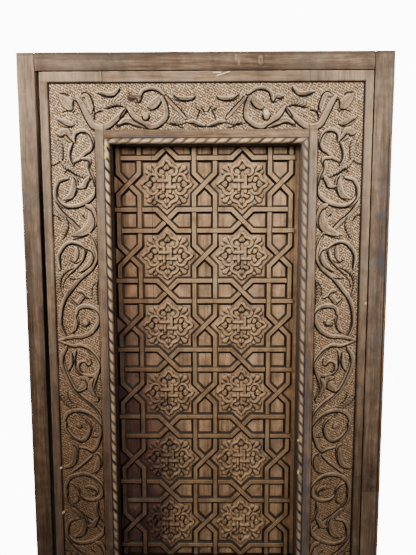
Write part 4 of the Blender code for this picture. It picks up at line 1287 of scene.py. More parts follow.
def make_hinges(material):
    """Model the two halves of the lowest hinge and copy them up the edge."""
    boxes = [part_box(f"hinge_{number}_leaf_half") for number in (1, 2, 3)]
    levels = [(low.z + high.z) / 2 for low, high in boxes]
    inner = MIDDLE_KNUCKLE_HALF
    halves = (
        ("leaf", -1, ((-inner + TOUCH_GAP, inner - TOUCH_GAP),)),
        ("frame", 1, ((-HINGE_HALF_HEIGHT, -inner - TOUCH_GAP), (inner + TOUCH_GAP, HINGE_HALF_HEIGHT))),
    )
    for body, side, spans in halves:
        first = hinge_half(f"butt_hinge_1_{body}", side, spans, levels[0], material)
        for number in (2, 3):
            copy = first.copy()
            copy.data = first.data.copy()
            copy.name = f"butt_hinge_{number}_{body}"
            copy.data.name = copy.name
            copy.data.transform(Matrix.Translation((0, 0, levels[number - 1] - levels[0])))
            bpy.context.scene.collection.objects.link(copy)
            place_hinge_half(copy, f"hinge_{number}_{body}_half", body)
        place_hinge_half(first, f"hinge_1_{body}_half", body)


# Colours. Three numbers are amounts: the darkening towards the foot, which is dirt
# # with a painted fall-off of light, the panel's purple-brown, and the rubbing low down.
# # A tint is multiplied into the colour below it.

CARVED_PALETTE = {
    "dark": (0.080, 0.047, 0.028), "middle": (0.203, 0.130, 0.080), "light": (0.381, 0.265, 0.170),
    "silver_dark": (0.111, 0.087, 0.072), "silver": (0.290, 0.227, 0.172), "stain": (0.037, 0.021, 0.012),
    "rubbed": (0.871, 0.694, 0.493), "ground": (0.311, 0.195, 0.108), "pit": (0.020, 0.009, 0.004),
    "deep": (0.0025, 0.0014, 0.0010), "paint": (0.072, 0.080, 0.106), "splash": (0.95, 0.86, 0.62),
    "dull": (0.165, 0.143, 0.132), "bleached": (0.420, 0.335, 0.260), "grime_and_shade": 1.05, "low_rub": 0.32,
}
PANEL_PALETTE = CARVED_PALETTE | {
    "dark": (0.130, 0.078, 0.042), "middle": (0.375, 0.238, 0.136), "light": (0.520, 0.344, 0.202),
    "silver_dark": (0.150, 0.110, 0.078), "silver": (0.360, 0.266, 0.188), "rubbed": (0.580, 0.420, 0.245),
    "grime_and_shade": 0.52, "shade": 0.95,
}
STRAP_PALETTE = PANEL_PALETTE | {
    "middle": (0.218, 0.130, 0.069), "light": (0.360, 0.226, 0.118), "rubbed": (0.500, 0.355, 0.205),
    "deep": (0.0034, 0.0019, 0.0014), "shade": 0.62,
}
ROPE_PALETTE = CARVED_PALETTE | {
    "dark": (0.056, 0.033, 0.019), "middle": (0.137, 0.087, 0.053), "light": (0.257, 0.174, 0.111),
    "silver": (0.195, 0.161, 0.136), "rubbed": (0.672, 0.504, 0.328), "deep": (0.0100, 0.0050, 0.0024),
    "splash": (0.98, 0.82, 0.25), "dust": (0.200, 0.160, 0.135), "grime_and_shade": 0.75, "low_rub": 0.80,
}
FRAME_PALETTE = CARVED_PALETTE | {
    "dark": (0.042, 0.026, 0.016), "middle": (0.156, 0.102, 0.068), "light": (0.325, 0.235, 0.162),
    "silver": (0.252, 0.200, 0.159), "arris": (0.230, 0.130, 0.070), "damp": (0.060, 0.064, 0.078),
    "grime_and_shade": 1.10,
}
# Darkening towards the foot and the left: dirt with a painted fall-off of light.
GRIME_AND_SHADE_TINT = (0.43, 0.345, 0.290)
PURPLE_TINT = (0.155, 0.092, 0.155)
# Painted shade in the upper panel's left column, beside its left bead.
LEFT_SHADE_TINT = (0.45, 0.38, 0.37)
# Painted shade, warm and dark, beside the panel's right bead.
RIGHT_SHADE_TINT = (0.62, 0.42, 0.22)
PATCH_TINT = (0.64, 0.60, 0.59)
HEAD_TINT = (0.62, 0.60, 0.58)
STEEL_DARK, STEEL_LIGHT = (0.085, 0.080, 0.076), (0.240, 0.230, 0.220)
RUST_DARK, RUST_LIGHT = (0.060, 0.022, 0.008), (0.230, 0.095, 0.035)

# Rows of the punch's marks in the sunk ground
PUNCH_SCALE = 256.0
PUNCH_TURN = 0.48
PUNCH_SQUEEZE = 0.66
PUNCH_SCATTER = 0.38

# Marks of the front fade out between these depths
FRONT_HALF_END = 0.010
BACK_HALF_START = 0.014

# Lower edge of the worn patch on the right jamb, and the middle and half sizes
# # of the purple-brown darkening at the panel's lower left
PATCH_FOOT = 0.820
PURPLE_MIDDLE = (-0.250, 0.74)
PURPLE_HALF = (0.150, 0.50)

# Values that a node group takes from a palette
WOOD_COLOURS = "dark middle light silver_dark silver stain rubbed"
CARVING_VALUES = "ground rubbed pit deep low_rub"
FRAME_COLOURS = "deep arris damp stain light"


# Materials. An effect that several share is a node group with named sockets.

def node(tree, kind, **values):
    """Add a shader node and set its plain properties."""
    made = tree.nodes.new(kind)
    for key, value in values.items():
        setattr(made, key, value)
    return made


def feed(tree, socket, value):
    """Link a value to a socket, or set a number or colour on it."""
    if isinstance(value, (int, float)):
        socket.default_value = value
    elif isinstance(value, tuple):
        socket.default_value = value if len(value) == len(socket.default_value) else (*value, 1.0)
    else:
        tree.links.new(value, socket)


def result(tree, kind, output, inputs, **values):
    """Add a shader node, feed its inputs and return one of its outputs."""
    made = node(tree, kind, **values)
    for label, value in inputs.items():
        feed(tree, made.inputs[label], value)
    return made.outputs[output]


def noise(tree, vector, scale, detail, rough):
    """Add a noise pattern."""
    inputs = {"Vector": vector, "Scale": scale, "Detail": detail, "Roughness": rough}
    return result(tree, "ShaderNodeTexNoise", "Fac", inputs)


def mapped(tree, vector, scale, turn=0.0):
    """Stretch a coordinate, and turn it around Z."""
    inputs = {"Vector": vector, "Rotation": (0.0, 0.0, turn), "Scale": scale}
    return result(tree, "ShaderNodeMapping", "Vector", inputs)


def bumped(tree, height, strength, distance):
    """Return the normal that a height gives."""
    inputs = {"Height": height, "Strength": strength, "Distance": distance}
    return result(tree, "ShaderNodeBump", "Normal", inputs)


def grey(tree, value, low, high):
    """Spread a value between two limits to 0..1."""
    inputs = {"Value": value, "From Min": low, "From Max": high}
    return result(tree, "ShaderNodeMapRange", "Result", inputs)


def mix(tree, share, one, two, blend="MIX"):
    """Mix two colours. A number or a colour may stand for either input."""
    made = node(tree, "ShaderNodeMix", data_type="RGBA", blend_type=blend)
    for name, value in (("Factor", share), ("A", one), ("B", two)):
        feed(tree, [s for s in made.inputs if s.name == name and s.enabled][0], value)
    return [s for s in made.outputs if s.enabled][0]


def math_node(tree, operation, one, two=0.5, clamp=False):
    """Add a sum, product or other calculation."""
    made = node(tree, "ShaderNodeMath", operation=operation, use_clamp=clamp)
    feed(tree, made.inputs[0], one)
    feed(tree, made.inputs[1], two)
    return made.outputs["Value"]


def added(tree, one, two):
    """Add two values."""
    return math_node(tree, "ADD", one, two)


def higher(tree, one, two):
    """Return the higher one of two values."""
    return math_node(tree, "MAXIMUM", one, two)


def product(tree, *values):
    """Multiply several values."""
    total = values[0]
    for value in values[1:]:
        total = math_node(tree, "MULTIPLY", total, value)
    return total


def ranged(tree, value, low, high):
    """Turn 0..1 into low..high."""
    return added(tree, product(tree, value, high - low), low)


def laid_over(tree, colour, mark, *masks, blend="MIX"):
    """Lay a second colour over a first one where all the masks are high."""
    return mix(tree, product(tree, *masks), colour, mark, blend)


def coordinates(tree, place):
    """Return the X, Y and Z of a place."""
    parts = node(tree, "ShaderNodeSeparateXYZ")
    feed(tree, parts.inputs["Vector"], place)
    return parts.outputs["X"], parts.outputs["Y"], parts.outputs["Z"]


def distance_from(tree, value, middle):
    """Return how far a value is from a middle."""
    return math_node(tree, "ABSOLUTE", math_node(tree, "SUBTRACT", value, middle))


def band_mask(tree, value, middle, half, soft):
    """Return 1 where a value is close to a middle, fading over soft."""
    return grey(tree, distance_from(tree, value, middle), half + soft, half)


def front_share(tree, y):
    """Return 1 on the door's front half and 0 on its back."""
    return grey(tree, y, BACK_HALF_START, FRONT_HALF_END)


def new_group(name, inputs, outputs):
    """Start a node group whose sockets are named under their kind."""
    group = bpy.data.node_groups.new(name, "ShaderNodeTree")
    for direction, sockets in (("INPUT", inputs), ("OUTPUT", outputs)):
        for kind, labels in sockets.items():
            for label in labels.split():
                group.interface.new_socket(name=label, in_out=direction, socket_type="NodeSocket" + kind)
    return group, node(group, "NodeGroupInput").outputs, node(group, "NodeGroupOutput").inputs


def placed(tree, group, **values):
    """Place a group in a material with its own values."""
    made = node(tree, "ShaderNodeGroup", node_tree=group)
    for label, value in values.items():
        feed(tree, made.inputs[label], value)
    return made.outputs


def chosen(palette, names):
    """Return some of a palette's values."""
    return {name: palette[name] for name in names.split()}


def old_wood_group():
    """Group: grain, silvering, stains and pale flecks of weathered wood."""
    tree, given, out = new_group(
        "old_wood", {"Vector": "place squeeze", "Color": WOOD_COLOURS},
        {"Color": "colour", "Float": "height roughness"})
    place = given["place"]
    along = mapped(tree, place, given["squeeze"])
    grain = noise(tree, along, 230.0, 5.0, 0.65)
    fibre = noise(tree, along, 700.0, 2.0, 0.5)
    bands = noise(tree, along, 36.0, 3.0, 0.6)
    patches = noise(tree, place, 6.0, 4.0, 0.6)
    blotch = noise(tree, place, 26.0, 5.0, 0.7)
    speck = noise(tree, place, 380.0, 3.0, 0.8)

    tone = added(tree, product(tree, grain, 0.5), product(tree, bands, 0.5))
    colour = mix(tree, grey(tree, tone, 0.36, 0.50), given["dark"], given["middle"])
    colour = mix(tree, grey(tree, tone, 0.50, 0.64), colour, given["light"])
    silvered = mix(tree, grey(tree, bands, 0.35, 0.70), given["silver_dark"], given["silver"])
    colour = mix(tree, grey(tree, patches, 0.48, 0.75), colour, silvered)
    colour = laid_over(tree, colour, given["stain"], grey(tree, blotch, 0.60, 0.36), 0.5)
    colour = laid_over(tree, colour, given["stain"], grey(tree, fibre, 0.42, 0.30), 0.5)
    colour = laid_over(tree, colour, given["rubbed"], grey(tree, speck, 0.68, 0.76), 0.4)
    feed(tree, out["colour"], colour)
    feed(tree, out["height"], added(tree, product(tree, grain, 0.5), product(tree, fibre, 0.4)))
    feed(tree, out["roughness"], ranged(tree, grain, 0.48, 0.80))
    return tree


def punch_distance(tree, place):
    """Return how far points lie from the punch's marks, which stand in uneven rows."""
    x, _, z = coordinates(tree, place)
    face = result(tree, "ShaderNodeCombineXYZ", "Vector", {"X": x, "Y": z})
    rows = mapped(tree, mapped(tree, face, (1.0, 1.0, 1.0), PUNCH_TURN), (1.0, PUNCH_SQUEEZE, 1.0))
    inputs = {"Vector": rows, "Scale": PUNCH_SCALE, "Randomness": PUNCH_SCATTER}
    return result(
        tree, "ShaderNodeTexVoronoi", "Distance", inputs, feature="F1", voronoi_dimensions="2D")


def carving_group():
    """Group: punched ground, rubbed crests with painted highlights, and the carving's cuts painted dark as
    shade.
    """
    tree, given, out = new_group(
        "carving_marks",
        {"Vector": "place", "Color": "colour masks ground rubbed pit deep", "Float": "height low_rub"},
        {"Color": "colour", "Float": "height"})
    place = given["place"]
    split = node(tree, "ShaderNodeSeparateColor")
    feed(tree, split.inputs["Color"], given["masks"])
    cut, rub, stipple = split.outputs["Red"], split.outputs["Green"], split.outputs["Blue"]
    across, _, up = coordinates(tree, place)
    # Painted light: punched ridges and rubbed crests grow brighter towards the door's top and its right.
    up = added(tree, up, product(tree, grey(tree, across, -0.1, 0.3), 0.12))
    high = grey(tree, up, 0.90, 1.62)
    blotch = noise(tree, place, 26.0, 5.0, 0.7)
    wander = noise(tree, place, 60.0, 2.0, 0.5)
    distance = punch_distance(tree, place)
    struck = ranged(tree, grey(tree, wander, 0.6, 0.3), 0.55, 1.0)
    spared = ranged(tree, grey(tree, wander, 0.3, 0.6), 0.5, 1.0)
    pit = product(tree, grey(tree, distance, 0.46, 0.26), stipple, struck)
    ridge = product(tree, grey(tree, distance, 0.44, 0.60), stipple, spared)
    colour = laid_over(tree, given["colour"], given["ground"], stipple, 0.72)
    colour = laid_over(tree, colour, given["rubbed"], ridge, ranged(tree, high, 0.26, 0.84))
    colour = laid_over(tree, colour, given["pit"], pit, 0.95)
    lit_rub_share = higher(tree, product(tree, high, 0.95), given["low_rub"])
    colour = laid_over(tree, colour, given["rubbed"], rub, grey(tree, blotch, 0.25, 0.52), lit_rub_share)
    # Cuts take the near-black deep colour: painted shade in them.
    colour = mix(tree, math_node(tree, "MULTIPLY", cut, 1.25, clamp=True), colour, given["deep"])
    feed(tree, out["colour"], colour)
    feed(tree, out["height"], math_node(tree, "SUBTRACT", given["height"], product(tree, pit, 1.6)))
    return tree


def grime_and_shade_group():
    """Group: darkens the door towards its foot, more on its left: dirt with a painted fall-off of light."""
    tree, given, out = new_group(
        "grime_and_shade", {"Color": "colour", "Vector": "place", "Float": "amount"}, {"Color": "colour"})
    x, _, z = coordinates(tree, given["place"])
    cloud = noise(tree, given["place"], 3.2, 3.0, 0.55)
    to_foot = grey(tree, z, 1.62, 0.80)
    clouded = ranged(tree, grey(tree, cloud, 0.25, 0.65), 0.6, 1.0)
    to_left = ranged(tree, grey(tree, x, 0.05, -0.38), 0.50, 1.0)
    colour = laid_over(
        tree, given["colour"], GRIME_AND_SHADE_TINT, to_foot, clouded, to_left, given["amount"], blend="MULTIPLY")
    feed(tree, out["colour"], colour)
    return tree


def small_mark_group():
    """Group: one small splash, chip or knot on the door's front."""
    tree, given, out = new_group(
        "small_mark", {"Color": "colour mark", "Vector": "place", "Float": "x z half_x half_z share"},
        {"Color": "colour"})
    x, y, z = coordinates(tree, given["place"])
    masks = [given["share"], front_share(tree, y)]
    for value, middle, half in ((x, given["x"], given["half_x"]), (z, given["z"], given["half_z"])):
        off = math_node(tree, "DIVIDE", distance_from(tree, value, middle), half)
        masks.append(grey(tree, off, 1.1, 0.6))
    masks.append(grey(tree, noise(tree, given["place"], 240.0, 3.0, 0.7), 0.36, 0.52))
    feed(tree, out["colour"], laid_over(tree, given["colour"], given["mark"], *masks))
    return tree


def panel_tone_and_shade_group():
    """Group: purple-brown darkening at a panel's lower left, painted shade beside its beads, and its open
    board joint.
    """
    tree, given, out = new_group(
        "panel_tone_and_shade", {"Color": "colour deep", "Vector": "place", "Float": "shade"}, {"Color": "colour"})
    x, y, z = coordinates(tree, given["place"])
    front = front_share(tree, y)
    cloud = noise(tree, given["place"], 5.0, 4.0, 0.6)
    squares = []
    for value, middle, half in zip((x, z), PURPLE_MIDDLE, PURPLE_HALF):
        off = math_node(tree, "DIVIDE", math_node(tree, "SUBTRACT", value, middle), half)
        squares.append(product(tree, off, off))
    far = added(tree, *squares)
    colour = laid_over(
        tree, given["colour"], PURPLE_TINT, grey(tree, far, 1.7, 0.5), grey(tree, cloud, 0.18, 0.42),
        given["shade"], front, blend="MULTIPLY")
    # Painted shade in the upper panel's left column beside its bead.
    upper_left_shade = product(tree, band_mask(tree, x, -0.222, 0.032, 0.110), grey(tree, z, 1.06, 1.26))
    colour = laid_over(
        tree, colour, LEFT_SHADE_TINT, upper_left_shade, grey(tree, cloud, 0.10, 0.42), front, 0.88, blend="MULTIPLY")
    # Painted shade, warmer and darker, beside the right bead low down.
    lower_right_shade = product(tree, band_mask(tree, x, 0.240, 0.010, 0.030), grey(tree, z, 1.5, 0.9))
    colour = laid_over(tree, colour, RIGHT_SHADE_TINT, lower_right_shade, front, 0.5, blend="MULTIPLY")
    bent = noise(tree, mapped(tree, given["place"], (0.0, 0.0, 1.0)), 14.0, 3.0, 0.6)
    joint = added(tree, x, ranged(tree, bent, 0.1405, 0.1430))
    open_joint = band_mask(tree, joint, 0.0, 0.0004, 0.0008)
    colour = laid_over(tree, colour, given["deep"], open_joint, grey(tree, z, 1.20, 1.28), 0.75)
    feed(tree, out["colour"], colour)
    return tree


def frame_wear_group():
    """Group: painted shade in the leaf's gap, worn right arris and damp of the frame, a painted shade line
    on the head's top, and paler wood with painted light at the left jamb's top.
    """
    tree, given, out = new_group(
        "frame_wear", {"Color": "colour " + FRAME_COLOURS, "Vector": "place"}, {"Color": "colour"})
    place = given["place"]
    x, y, z = coordinates(tree, place)
    front = front_share(tree, y)

    # The leaf's gap is painted near black: painted shade.
    in_depth = product(
        tree, grey(tree, y, FRONT + 0.0004, FRONT + 0.005), grey(tree, y, REAR - 0.0002, REAR - 0.0008))
    opening = product(
        tree, grey(tree, x, JAMB_RIGHT + 0.003, JAMB_RIGHT + 0.001),
        grey(tree, x, JAMB_LEFT - 0.009, JAMB_LEFT - 0.008),
        grey(tree, z, HEAD_BOTTOM + 0.011, HEAD_BOTTOM + 0.008))
    colour = laid_over(tree, given["colour"], given["deep"], in_depth, opening)

    ragged = noise(tree, place, 34.0, 4.0, 0.7)
    patch = product(
        tree, band_mask(tree, z, PATCH_FOOT + 0.040, 0.030, 0.034),
        grey(tree, z, PATCH_FOOT - 0.0005, PATCH_FOOT + 0.0005),
        grey(tree, x, JAMB_RIGHT + 0.002, JAMB_RIGHT + 0.009))
    colour = laid_over(
        tree, colour, PATCH_TINT, patch, grey(tree, ragged, 0.34, 0.54), front, 0.85, blend="MULTIPLY")
    patch_edge = product(tree, band_mask(tree, z, PATCH_FOOT, 0.0004, 0.0012), grey(tree, x, 0.0, 0.1))
    colour = laid_over(tree, colour, given["stain"], patch_edge, front, 0.7)

    lower = grey(tree, z, 1.80, 1.76)
    arris = grey(tree, x, FRAME_RIGHT - 0.0065, FRAME_RIGHT - 0.0058)
    colour = laid_over(tree, colour, given["arris"], arris, lower, front, 0.55)
    line = band_mask(tree, x, FRAME_RIGHT - 0.0085, 0.0012, 0.0012)
    colour = laid_over(tree, colour, given["deep"], line, lower, front, 0.85)

    damp = noise(tree, mapped(tree, place, (1.0, 1.0, 0.35)), 22.0, 4.0, 0.65)
    jamb_middle = product(
        tree, band_mask(tree, x, FRAME_RIGHT - 0.016, 0.007, 0.010), band_mask(tree, z, 1.44, 0.16, 0.14))
    colour = laid_over(tree, colour, given["damp"], grey(tree, damp, 0.46, 0.58), jamb_middle, front, 0.85)

    streaks = noise(tree, mapped(tree, place, (1.0, 1.0, 0.12)), 150.0, 4.0, 0.7)
    streaked = ranged(tree, grey(tree, streaks, 0.38, 0.60), 0.25, 1.0)
    # Paler streaked wood at the left jamb's top, together with a painted brightening where the light falls
    # strongest.
    left_jamb_top_light = product(
        tree, grey(tree, x, JAMB_LEFT + 0.004, JAMB_LEFT + 0.001), grey(tree, z, 1.62, 1.86))
    colour = laid_over(tree, colour, given["light"], left_jamb_top_light, streaked, front, 0.62)
    below_patch = product(
        tree, grey(tree, z, PATCH_FOOT + 0.0005, PATCH_FOOT - 0.0005),
        grey(tree, x, JAMB_RIGHT, JAMB_RIGHT + 0.003))
    colour = laid_over(tree, colour, given["light"], below_patch, front, 0.10)

    head = product(
        tree, grey(tree, z, HEAD_BOTTOM, HEAD_BOTTOM + 0.002), band_mask(tree, x, 0.0, JAMB_RIGHT, 0.001))
    colour = laid_over(tree, colour, HEAD_TINT, head, 0.40, blend="MULTIPLY")
    # A dark line along the head's top edge: painted shade.
    head_top_shade = product(
        tree, grey(tree, z, FRAME_TOP - 0.010, FRAME_TOP - 0.0055),
        band_mask(tree, x, 0.0, FRAME_RIGHT - 0.007, 0.002))
    colour = laid_over(tree, colour, given["stain"], head_top_shade, 0.55)
    feed(tree, out["colour"], colour)
    return tree


GROUPS = {
    "wood": old_wood_group(), "carving": carving_group(), "grime_and_shade": grime_and_shade_group(),
    "mark": small_mark_group(), "panel": panel_tone_and_shade_group(), "frame": frame_wear_group(),
}


def marked(tree, place, colour, mark, share, spots):
    """Add small marks of one colour, each as middle x, middle z and half sizes."""
    for x, z, half_x, half_z in spots:
        spot = {"x": x, "z": z, "half_x": half_x, "half_z": half_z, "share": share}
        colour = placed(tree, GROUPS["mark"], colour=colour, place=place, mark=mark, **spot)["colour"]
    return colour


def new_material(name):
    """Return a material, its node tree and its shader."""
    material = bpy.data.materials.new(name)
    material.use_nodes = True
    return material, material.node_tree, material.node_tree.nodes["Principled BSDF"]


def wood(name, grain_axis, palette, carved, special):
    """Return weathered wood whose grain runs along one axis (0 is X, 2 is Z).

    special adds the marks that only some members of the door have.
    """
    material, tree, shader = new_material(name)
    place = node(tree, "ShaderNodeTexCoord").outputs["Object"]
    squeeze = tuple(0.05 if axis == grain_axis else 1.0 for axis in range(3))
    grain = placed(tree, GROUPS["wood"], place=place, squeeze=squeeze, **chosen(palette, WOOD_COLOURS))
    colour, height = grain["colour"], grain["height"]
    if carved:
        masks = node(tree, "ShaderNodeAttribute", attribute_name="carving").outputs["Color"]
        marks = placed(
            tree, GROUPS["carving"], colour=colour, height=height, place=place, masks=masks,
            **chosen(palette, CARVING_VALUES))
        colour, height = marks["colour"], marks["height"]
    # Darker towards the foot and the left: dirt with a painted fall-off of light.
    colour = placed(tree, GROUPS["grime_and_shade"], colour=colour, place=place, amount=palette["grime_and_shade"])["colour"]
    feed(tree, shader.inputs["Base Color"], special(tree, place, colour, palette))
    feed(tree, shader.inputs["Normal"], bumped(tree, height, 0.7, 0.0012))
    feed(tree, shader.inputs["Roughness"], grain["roughness"])
    shader.inputs["Specular IOR Level"].default_value = 0.22
    return material


def stile_marks(tree, place, colour, palette):
    """Old blue-grey paint beside the ropes, pale rubbed edges and splashes."""
    x, y, z = coordinates(tree, place)
    front = front_share(tree, y)
    streak = noise(tree, mapped(tree, place, (1.0, 1.0, 0.15)), 110.0, 4.0, 0.7)
    cloud = noise(tree, place, 9.0, 3.0, 0.6)
    high = grey(tree, z, 1.30, 1.62)
    below = grey(tree, z, TOP_RAIL_BOTTOM + 0.021, TOP_RAIL_BOTTOM + 0.011)

    beside_left = product(tree, band_mask(tree, x, RAIL_LEFT - 0.009, 0.007, 0.004), high, below)
    colour = laid_over(
        tree, colour, palette["dull"], beside_left, grey(tree, cloud, 0.30, 0.55),
        grey(tree, streak, 0.28, 0.58), front, 0.75)
    beside_right = product(tree, band_mask(tree, x, RAIL_RIGHT + 0.012, 0.007, 0.003), high, below)
    colour = laid_over(
        tree, colour, palette["bleached"], beside_right, grey(tree, streak, 0.30, 0.55), front, 0.55)

    left = product(tree, band_mask(tree, x, RAIL_LEFT - 0.001, 0.002, 0.007), 0.50)
    fading = ranged(tree, grey(tree, z, 1.4, 0.9), 0.45, 0.95)
    right = product(tree, band_mask(tree, x, RAIL_RIGHT + 0.002, 0.003, 0.013), fading)
    colour = laid_over(
        tree, colour, palette["paint"], higher(tree, left, right), grey(tree, streak, 0.38, 0.56),
        grey(tree, z, TOP_RAIL_BOTTOM + 0.031, TOP_RAIL_BOTTOM - 0.049), grey(tree, cloud, 0.30, 0.50),
        front)

    strip = higher(
        tree, band_mask(tree, z, LEAF_TOP - 0.007, 0.015, 0.002),
        band_mask(tree, x, LEAF_RIGHT - 0.004, 0.015, 0.002))
    colour = laid_over(
        tree, colour, palette["rubbed"], strip, grey(tree, z, 1.15, 1.60), grey(tree, cloud, 0.30, 0.60),
        front, 0.16)
    left_edge = band_mask(tree, x, LEAF_LEFT, 0.010, 0.011)
    colour = laid_over(
        tree, colour, palette["silver_dark"], left_edge, grey(tree, streak, 0.60, 0.40), 0.50)
    repair = product(
        tree, band_mask(tree, z, 0.861, 0.0004, 0.0012),
        grey(tree, x, FIELD_RIGHT + 0.001, FIELD_RIGHT + 0.003))
    colour = laid_over(tree, colour, palette["stain"], repair, front, 0.8)
    rail_joint = product(
        tree, band_mask(tree, x, RAIL_LEFT, 0.0007, 0.0012),
        grey(tree, z, FIELD_TOP + 0.0015, FIELD_TOP + 0.0025))
    colour = laid_over(tree, colour, palette["deep"], rail_joint, 0.85)
    spots = ((-0.3993, 0.886), (-0.3976, 0.755), (0.3435, 1.5224), (0.4215, 1.3417))
    sized = [(spot_x, spot_z, 0.0028, 0.0034) for spot_x, spot_z in spots]
    return marked(tree, place, colour, palette["splash"], 0.85, sized)


def rail_marks(tree, place, colour, palette):
    """Pale rubbed top strip with scratches, a knot and old paint over the top rope."""
    x, y, z = coordinates(tree, place)
    front = front_share(tree, y)
    cloud = noise(tree, place, 12.0, 3.0, 0.6)
    top_strip = grey(tree, z, FIELD_TOP - 0.001, FIELD_TOP + 0.003)
    colour = laid_over(
        tree, colour, palette["rubbed"], top_strip, grey(tree, cloud, 0.30, 0.62), front, 0.10)
    slope = math_node(tree, "SUBTRACT", z, ranged(tree, x, 1.912, 2.212))
    first = product(
        tree, band_mask(tree, slope, 0.0, 0.0006, 0.0010), band_mask(tree, x, 0.045, 0.014, 0.006))
    second = product(
        tree, band_mask(tree, z, 1.9285, 0.0004, 0.0010), band_mask(tree, x, 0.030, 0.008, 0.004))
    colour = laid_over(tree, colour, palette["splash"], higher(tree, first, second), front, 0.85)
    streak = noise(tree, mapped(tree, place, (0.2, 1.0, 1.0)), 90.0, 4.0, 0.7)
    over_rope = product(
        tree, grey(tree, z, TOP_RAIL_BOTTOM + 0.0075, TOP_RAIL_BOTTOM + 0.0025),
        band_mask(tree, x, -0.13, 0.06, 0.06))
    colour = laid_over(
        tree, colour, palette["paint"], over_rope, grey(tree, streak, 0.40, 0.56), front, 0.75)
    knots = ((-0.180, 1.867, 0.022, 0.012), (-0.190, 1.873, 0.008, 0.016))
    colour = marked(tree, place, colour, palette["stain"], 0.85, knots)
    return marked(tree, place, colour, palette["splash"], 0.7, ((0.1545, 1.8318, 0.006, 0.007),))


def panel_marks(tree, place, colour, palette):
    """Purple-brown darkening, painted shade beside the beads, and the open joint of a panel."""
    return placed(
        tree, GROUPS["panel"], colour=colour, place=place, **chosen(palette, "shade deep"))["colour"]


def rope_marks(tree, place, colour, palette):
    """Dust on the right rope, and chips of old yellow paint."""
    x, _, z = coordinates(tree, place)
    right_rope = product(
        tree, grey(tree, x, RAIL_RIGHT - 0.026, RAIL_RIGHT - 0.024),
        grey(tree, x, RAIL_RIGHT + 0.004, RAIL_RIGHT + 0.002))
    dusty = ranged(tree, grey(tree, z, 1.10, 1.50), 0.12, 0.42)
    colour = laid_over(tree, colour, palette["dust"], right_rope, dusty)
    chips = ((-0.2550, 1.748, 0.0035, 0.009), (-0.2560, 1.724, 0.0035, 0.008),
             (0.2500, 0.9675, 0.0025, 0.005), (0.2510, 0.879, 0.0025, 0.007))
    return marked(tree, place, colour, palette["splash"], 0.8, chips)


def frame_marks(tree, place, colour, palette):
    """Wear of the frame, a knot in its head and splashes on its jambs."""
    colour = placed(
        tree, GROUPS["frame"], colour=colour, place=place, **chosen(palette, FRAME_COLOURS))["colour"]
    layers = (
        ("dark", 0.75, ((0.1400, 1.9580, 0.0105, 0.0165),)),
        ("light", 0.70, ((0.1392, 1.9588, 0.0065, 0.0120),)),
        ("dark", 0.75, ((0.1400, 1.9580, 0.0022, 0.0070),)),
        ("light", 0.60, ((0.0774, 1.9650, 0.0040, 0.0090), (0.0850, 1.9540, 0.0030, 0.0090),
                         (-0.4610, 1.8780, 0.0120, 0.0010))),
        ("splash", 0.9, ((-0.4755, 1.373, 0.0035, 0.0030), (0.4755, 1.7456, 0.0035, 0.0030))),
    )
    for mark, share, spots in layers:
        colour = marked(tree, place, colour, palette[mark], share, spots)
    return colour


def hinge_metal():
    """Return old steel: dull where it is rubbed, brown where it has rusted."""
    material, tree, shader = new_material("hinge_steel_rusted")
    place = node(tree, "ShaderNodeTexCoord").outputs["Object"]
    brushed = noise(tree, mapped(tree, place, (1.0, 1.0, 0.08)), 900.0, 3.0, 0.6)
    blotch = noise(tree, place, 70.0, 5.0, 0.7)
    grain = noise(tree, place, 600.0, 3.0, 0.7)
    steel = mix(tree, brushed, STEEL_DARK, STEEL_LIGHT)
    rusty = mix(tree, grain, RUST_DARK, RUST_LIGHT)
    rust = grey(tree, blotch, 0.46, 0.62)
    feed(tree, shader.inputs["Base Color"], mix(tree, rust, steel, rusty))
    feed(tree, shader.inputs["Metallic"], ranged(tree, rust, 0.95, 0.05))
    feed(tree, shader.inputs["Roughness"], ranged(tree, rust, 0.38, 0.88))
    height = added(tree, product(tree, rust, 0.6), product(tree, grain, 0.5))
    feed(tree, shader.inputs["Normal"], bumped(tree, height, 0.5, 0.0003))
    return material


# Floor, light and camera

FLOOR_GLOW = 11.5
WORLD_LIGHT = 0.05
WORLD_SEEN = 12.0
CAMERA_LENS = 27.18
CAMERA_PLACE = (0.014, -1.121, 1.511)
CAMERA_TURN = (90 - 5.24, 0.14, 0.41)


def make_floor():
    """Make the plain pale floor."""
    deselect_all()
    bpy.ops.mesh.primitive_plane_add(size=12.0, location=(0, 0, -0.002))
    floor = bpy.context.object
    floor.name = "floor"
    material, tree, shader = new_material("pale_floor")
    shader.inputs["Base Color"].default_value = (0.82, 0.81, 0.79, 1.0)
    shader.inputs["Roughness"].default_value = 0.9
    shader.inputs["Emission Color"].default_value = (1.0, 0.995, 0.985, 1.0)
    path = node(tree, "ShaderNodeLightPath")
    feed(tree, shader.inputs["Emission Strength"], product(tree, path.outputs["Is Camera Ray"], FLOOR_GLOW))
    floor.data.materials.append(material)


def area_light(name, place, target, size, power, colour, spread):
    """Add a soft area light that faces a point."""
    data = bpy.data.lights.new(name, "AREA")
    data.shape = "RECTANGLE"
    data.size, data.size_y = size
    data.energy = power
    data.color = colour
    data.spread = math.radians(spread)
    item = bpy.data.objects.new(name, data)
    item.location = place
    item.rotation_euler = (Vector(target) - Vector(place)).to_track_quat("-Z", "Y").to_euler()
    bpy.context.scene.collection.objects.link(item)


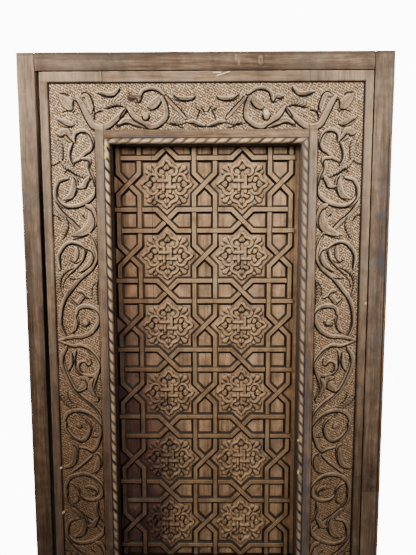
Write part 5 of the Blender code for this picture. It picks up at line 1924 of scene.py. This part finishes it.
def make_light():
    """Light the door softly from both sides and the front, before a bright background."""
    area_light("left", (-1.05, -0.95, 2.25), (0.0, 0, 1.62), (0.5, 0.7), 14.5, (1.0, 0.92, 0.81), 110)
    area_light("right", (1.05, -1.10, 2.2), (0.0, 0, 1.60), (0.5, 0.7), 11.2, (1.0, 0.93, 0.84), 110)
    area_light("front", (0.1, -2.2, 1.9), (0.0, 0, 1.3), (1.4, 1.0), 5.0, (1.0, 0.93, 0.84), 120)
    area_light("back", (-0.9, 2.6, 2.4), (0, 0, 1.0), (1.2, 2.0), 55.0, (1.0, 1.0, 1.0), 160)
    world = bpy.data.worlds.new("studio")
    bpy.context.scene.world = world
    world.use_nodes = True
    tree = world.node_tree
    lit = tree.nodes["Background"]
    seen = node(tree, "ShaderNodeBackground")
    for background, strength in ((lit, WORLD_LIGHT), (seen, WORLD_SEEN)):
        background.inputs["Color"].default_value = (1.0, 1.0, 1.0, 1.0)
        background.inputs["Strength"].default_value = strength
    path = node(tree, "ShaderNodeLightPath")
    join = node(tree, "ShaderNodeMixShader")
    feed(tree, join.inputs["Fac"], path.outputs["Is Camera Ray"])
    feed(tree, join.inputs[1], lit.outputs["Background"])
    feed(tree, join.inputs[2], seen.outputs["Background"])
    feed(tree, tree.nodes["World Output"].inputs["Surface"], join.outputs["Shader"])


def make_camera():
    """Set the camera where the photograph was taken from."""
    data = bpy.data.cameras.new("camera")
    data.sensor_width = 36.0
    data.lens = CAMERA_LENS
    data.clip_start = 0.05
    data.clip_end = 50.0
    item = bpy.data.objects.new("camera", data)
    item.location = CAMERA_PLACE
    item.rotation_euler = [math.radians(degrees) for degrees in CAMERA_TURN]
    bpy.context.scene.collection.objects.link(item)
    bpy.context.scene.camera = item


make_camera()
carved_upright = wood("carved_wood_upright", 2, CARVED_PALETTE, True, stile_marks)
carved_level = wood("carved_wood_level", 0, CARVED_PALETTE, True, rail_marks)
panel_wood = wood("panel_ground_wood", 2, PANEL_PALETTE, True, panel_marks)
strap_wood = wood("strap_wood", 2, STRAP_PALETTE, True, panel_marks)
rope_wood = wood("rubbed_rope_wood", 2, ROPE_PALETTE, True, rope_marks)
frame_upright = wood("frame_wood_upright", 2, FRAME_PALETTE, False, frame_marks)
frame_level = wood("frame_wood_level", 0, FRAME_PALETTE, False, frame_marks)
make_members(carved_upright, carved_level)
make_panel("leaf_panel_upper", MIDDLE_RAIL_TOP, TOP_RAIL_BOTTOM, panel_wood, strap_wood)
make_panel("leaf_panel_lower", BOTTOM_RAIL_TOP, MIDDLE_RAIL_BOTTOM, panel_wood, strap_wood)
make_beads(rope_wood)
make_frame_timber(frame_upright, frame_level)
make_hinges(hinge_metal())
make_floor()
make_light()
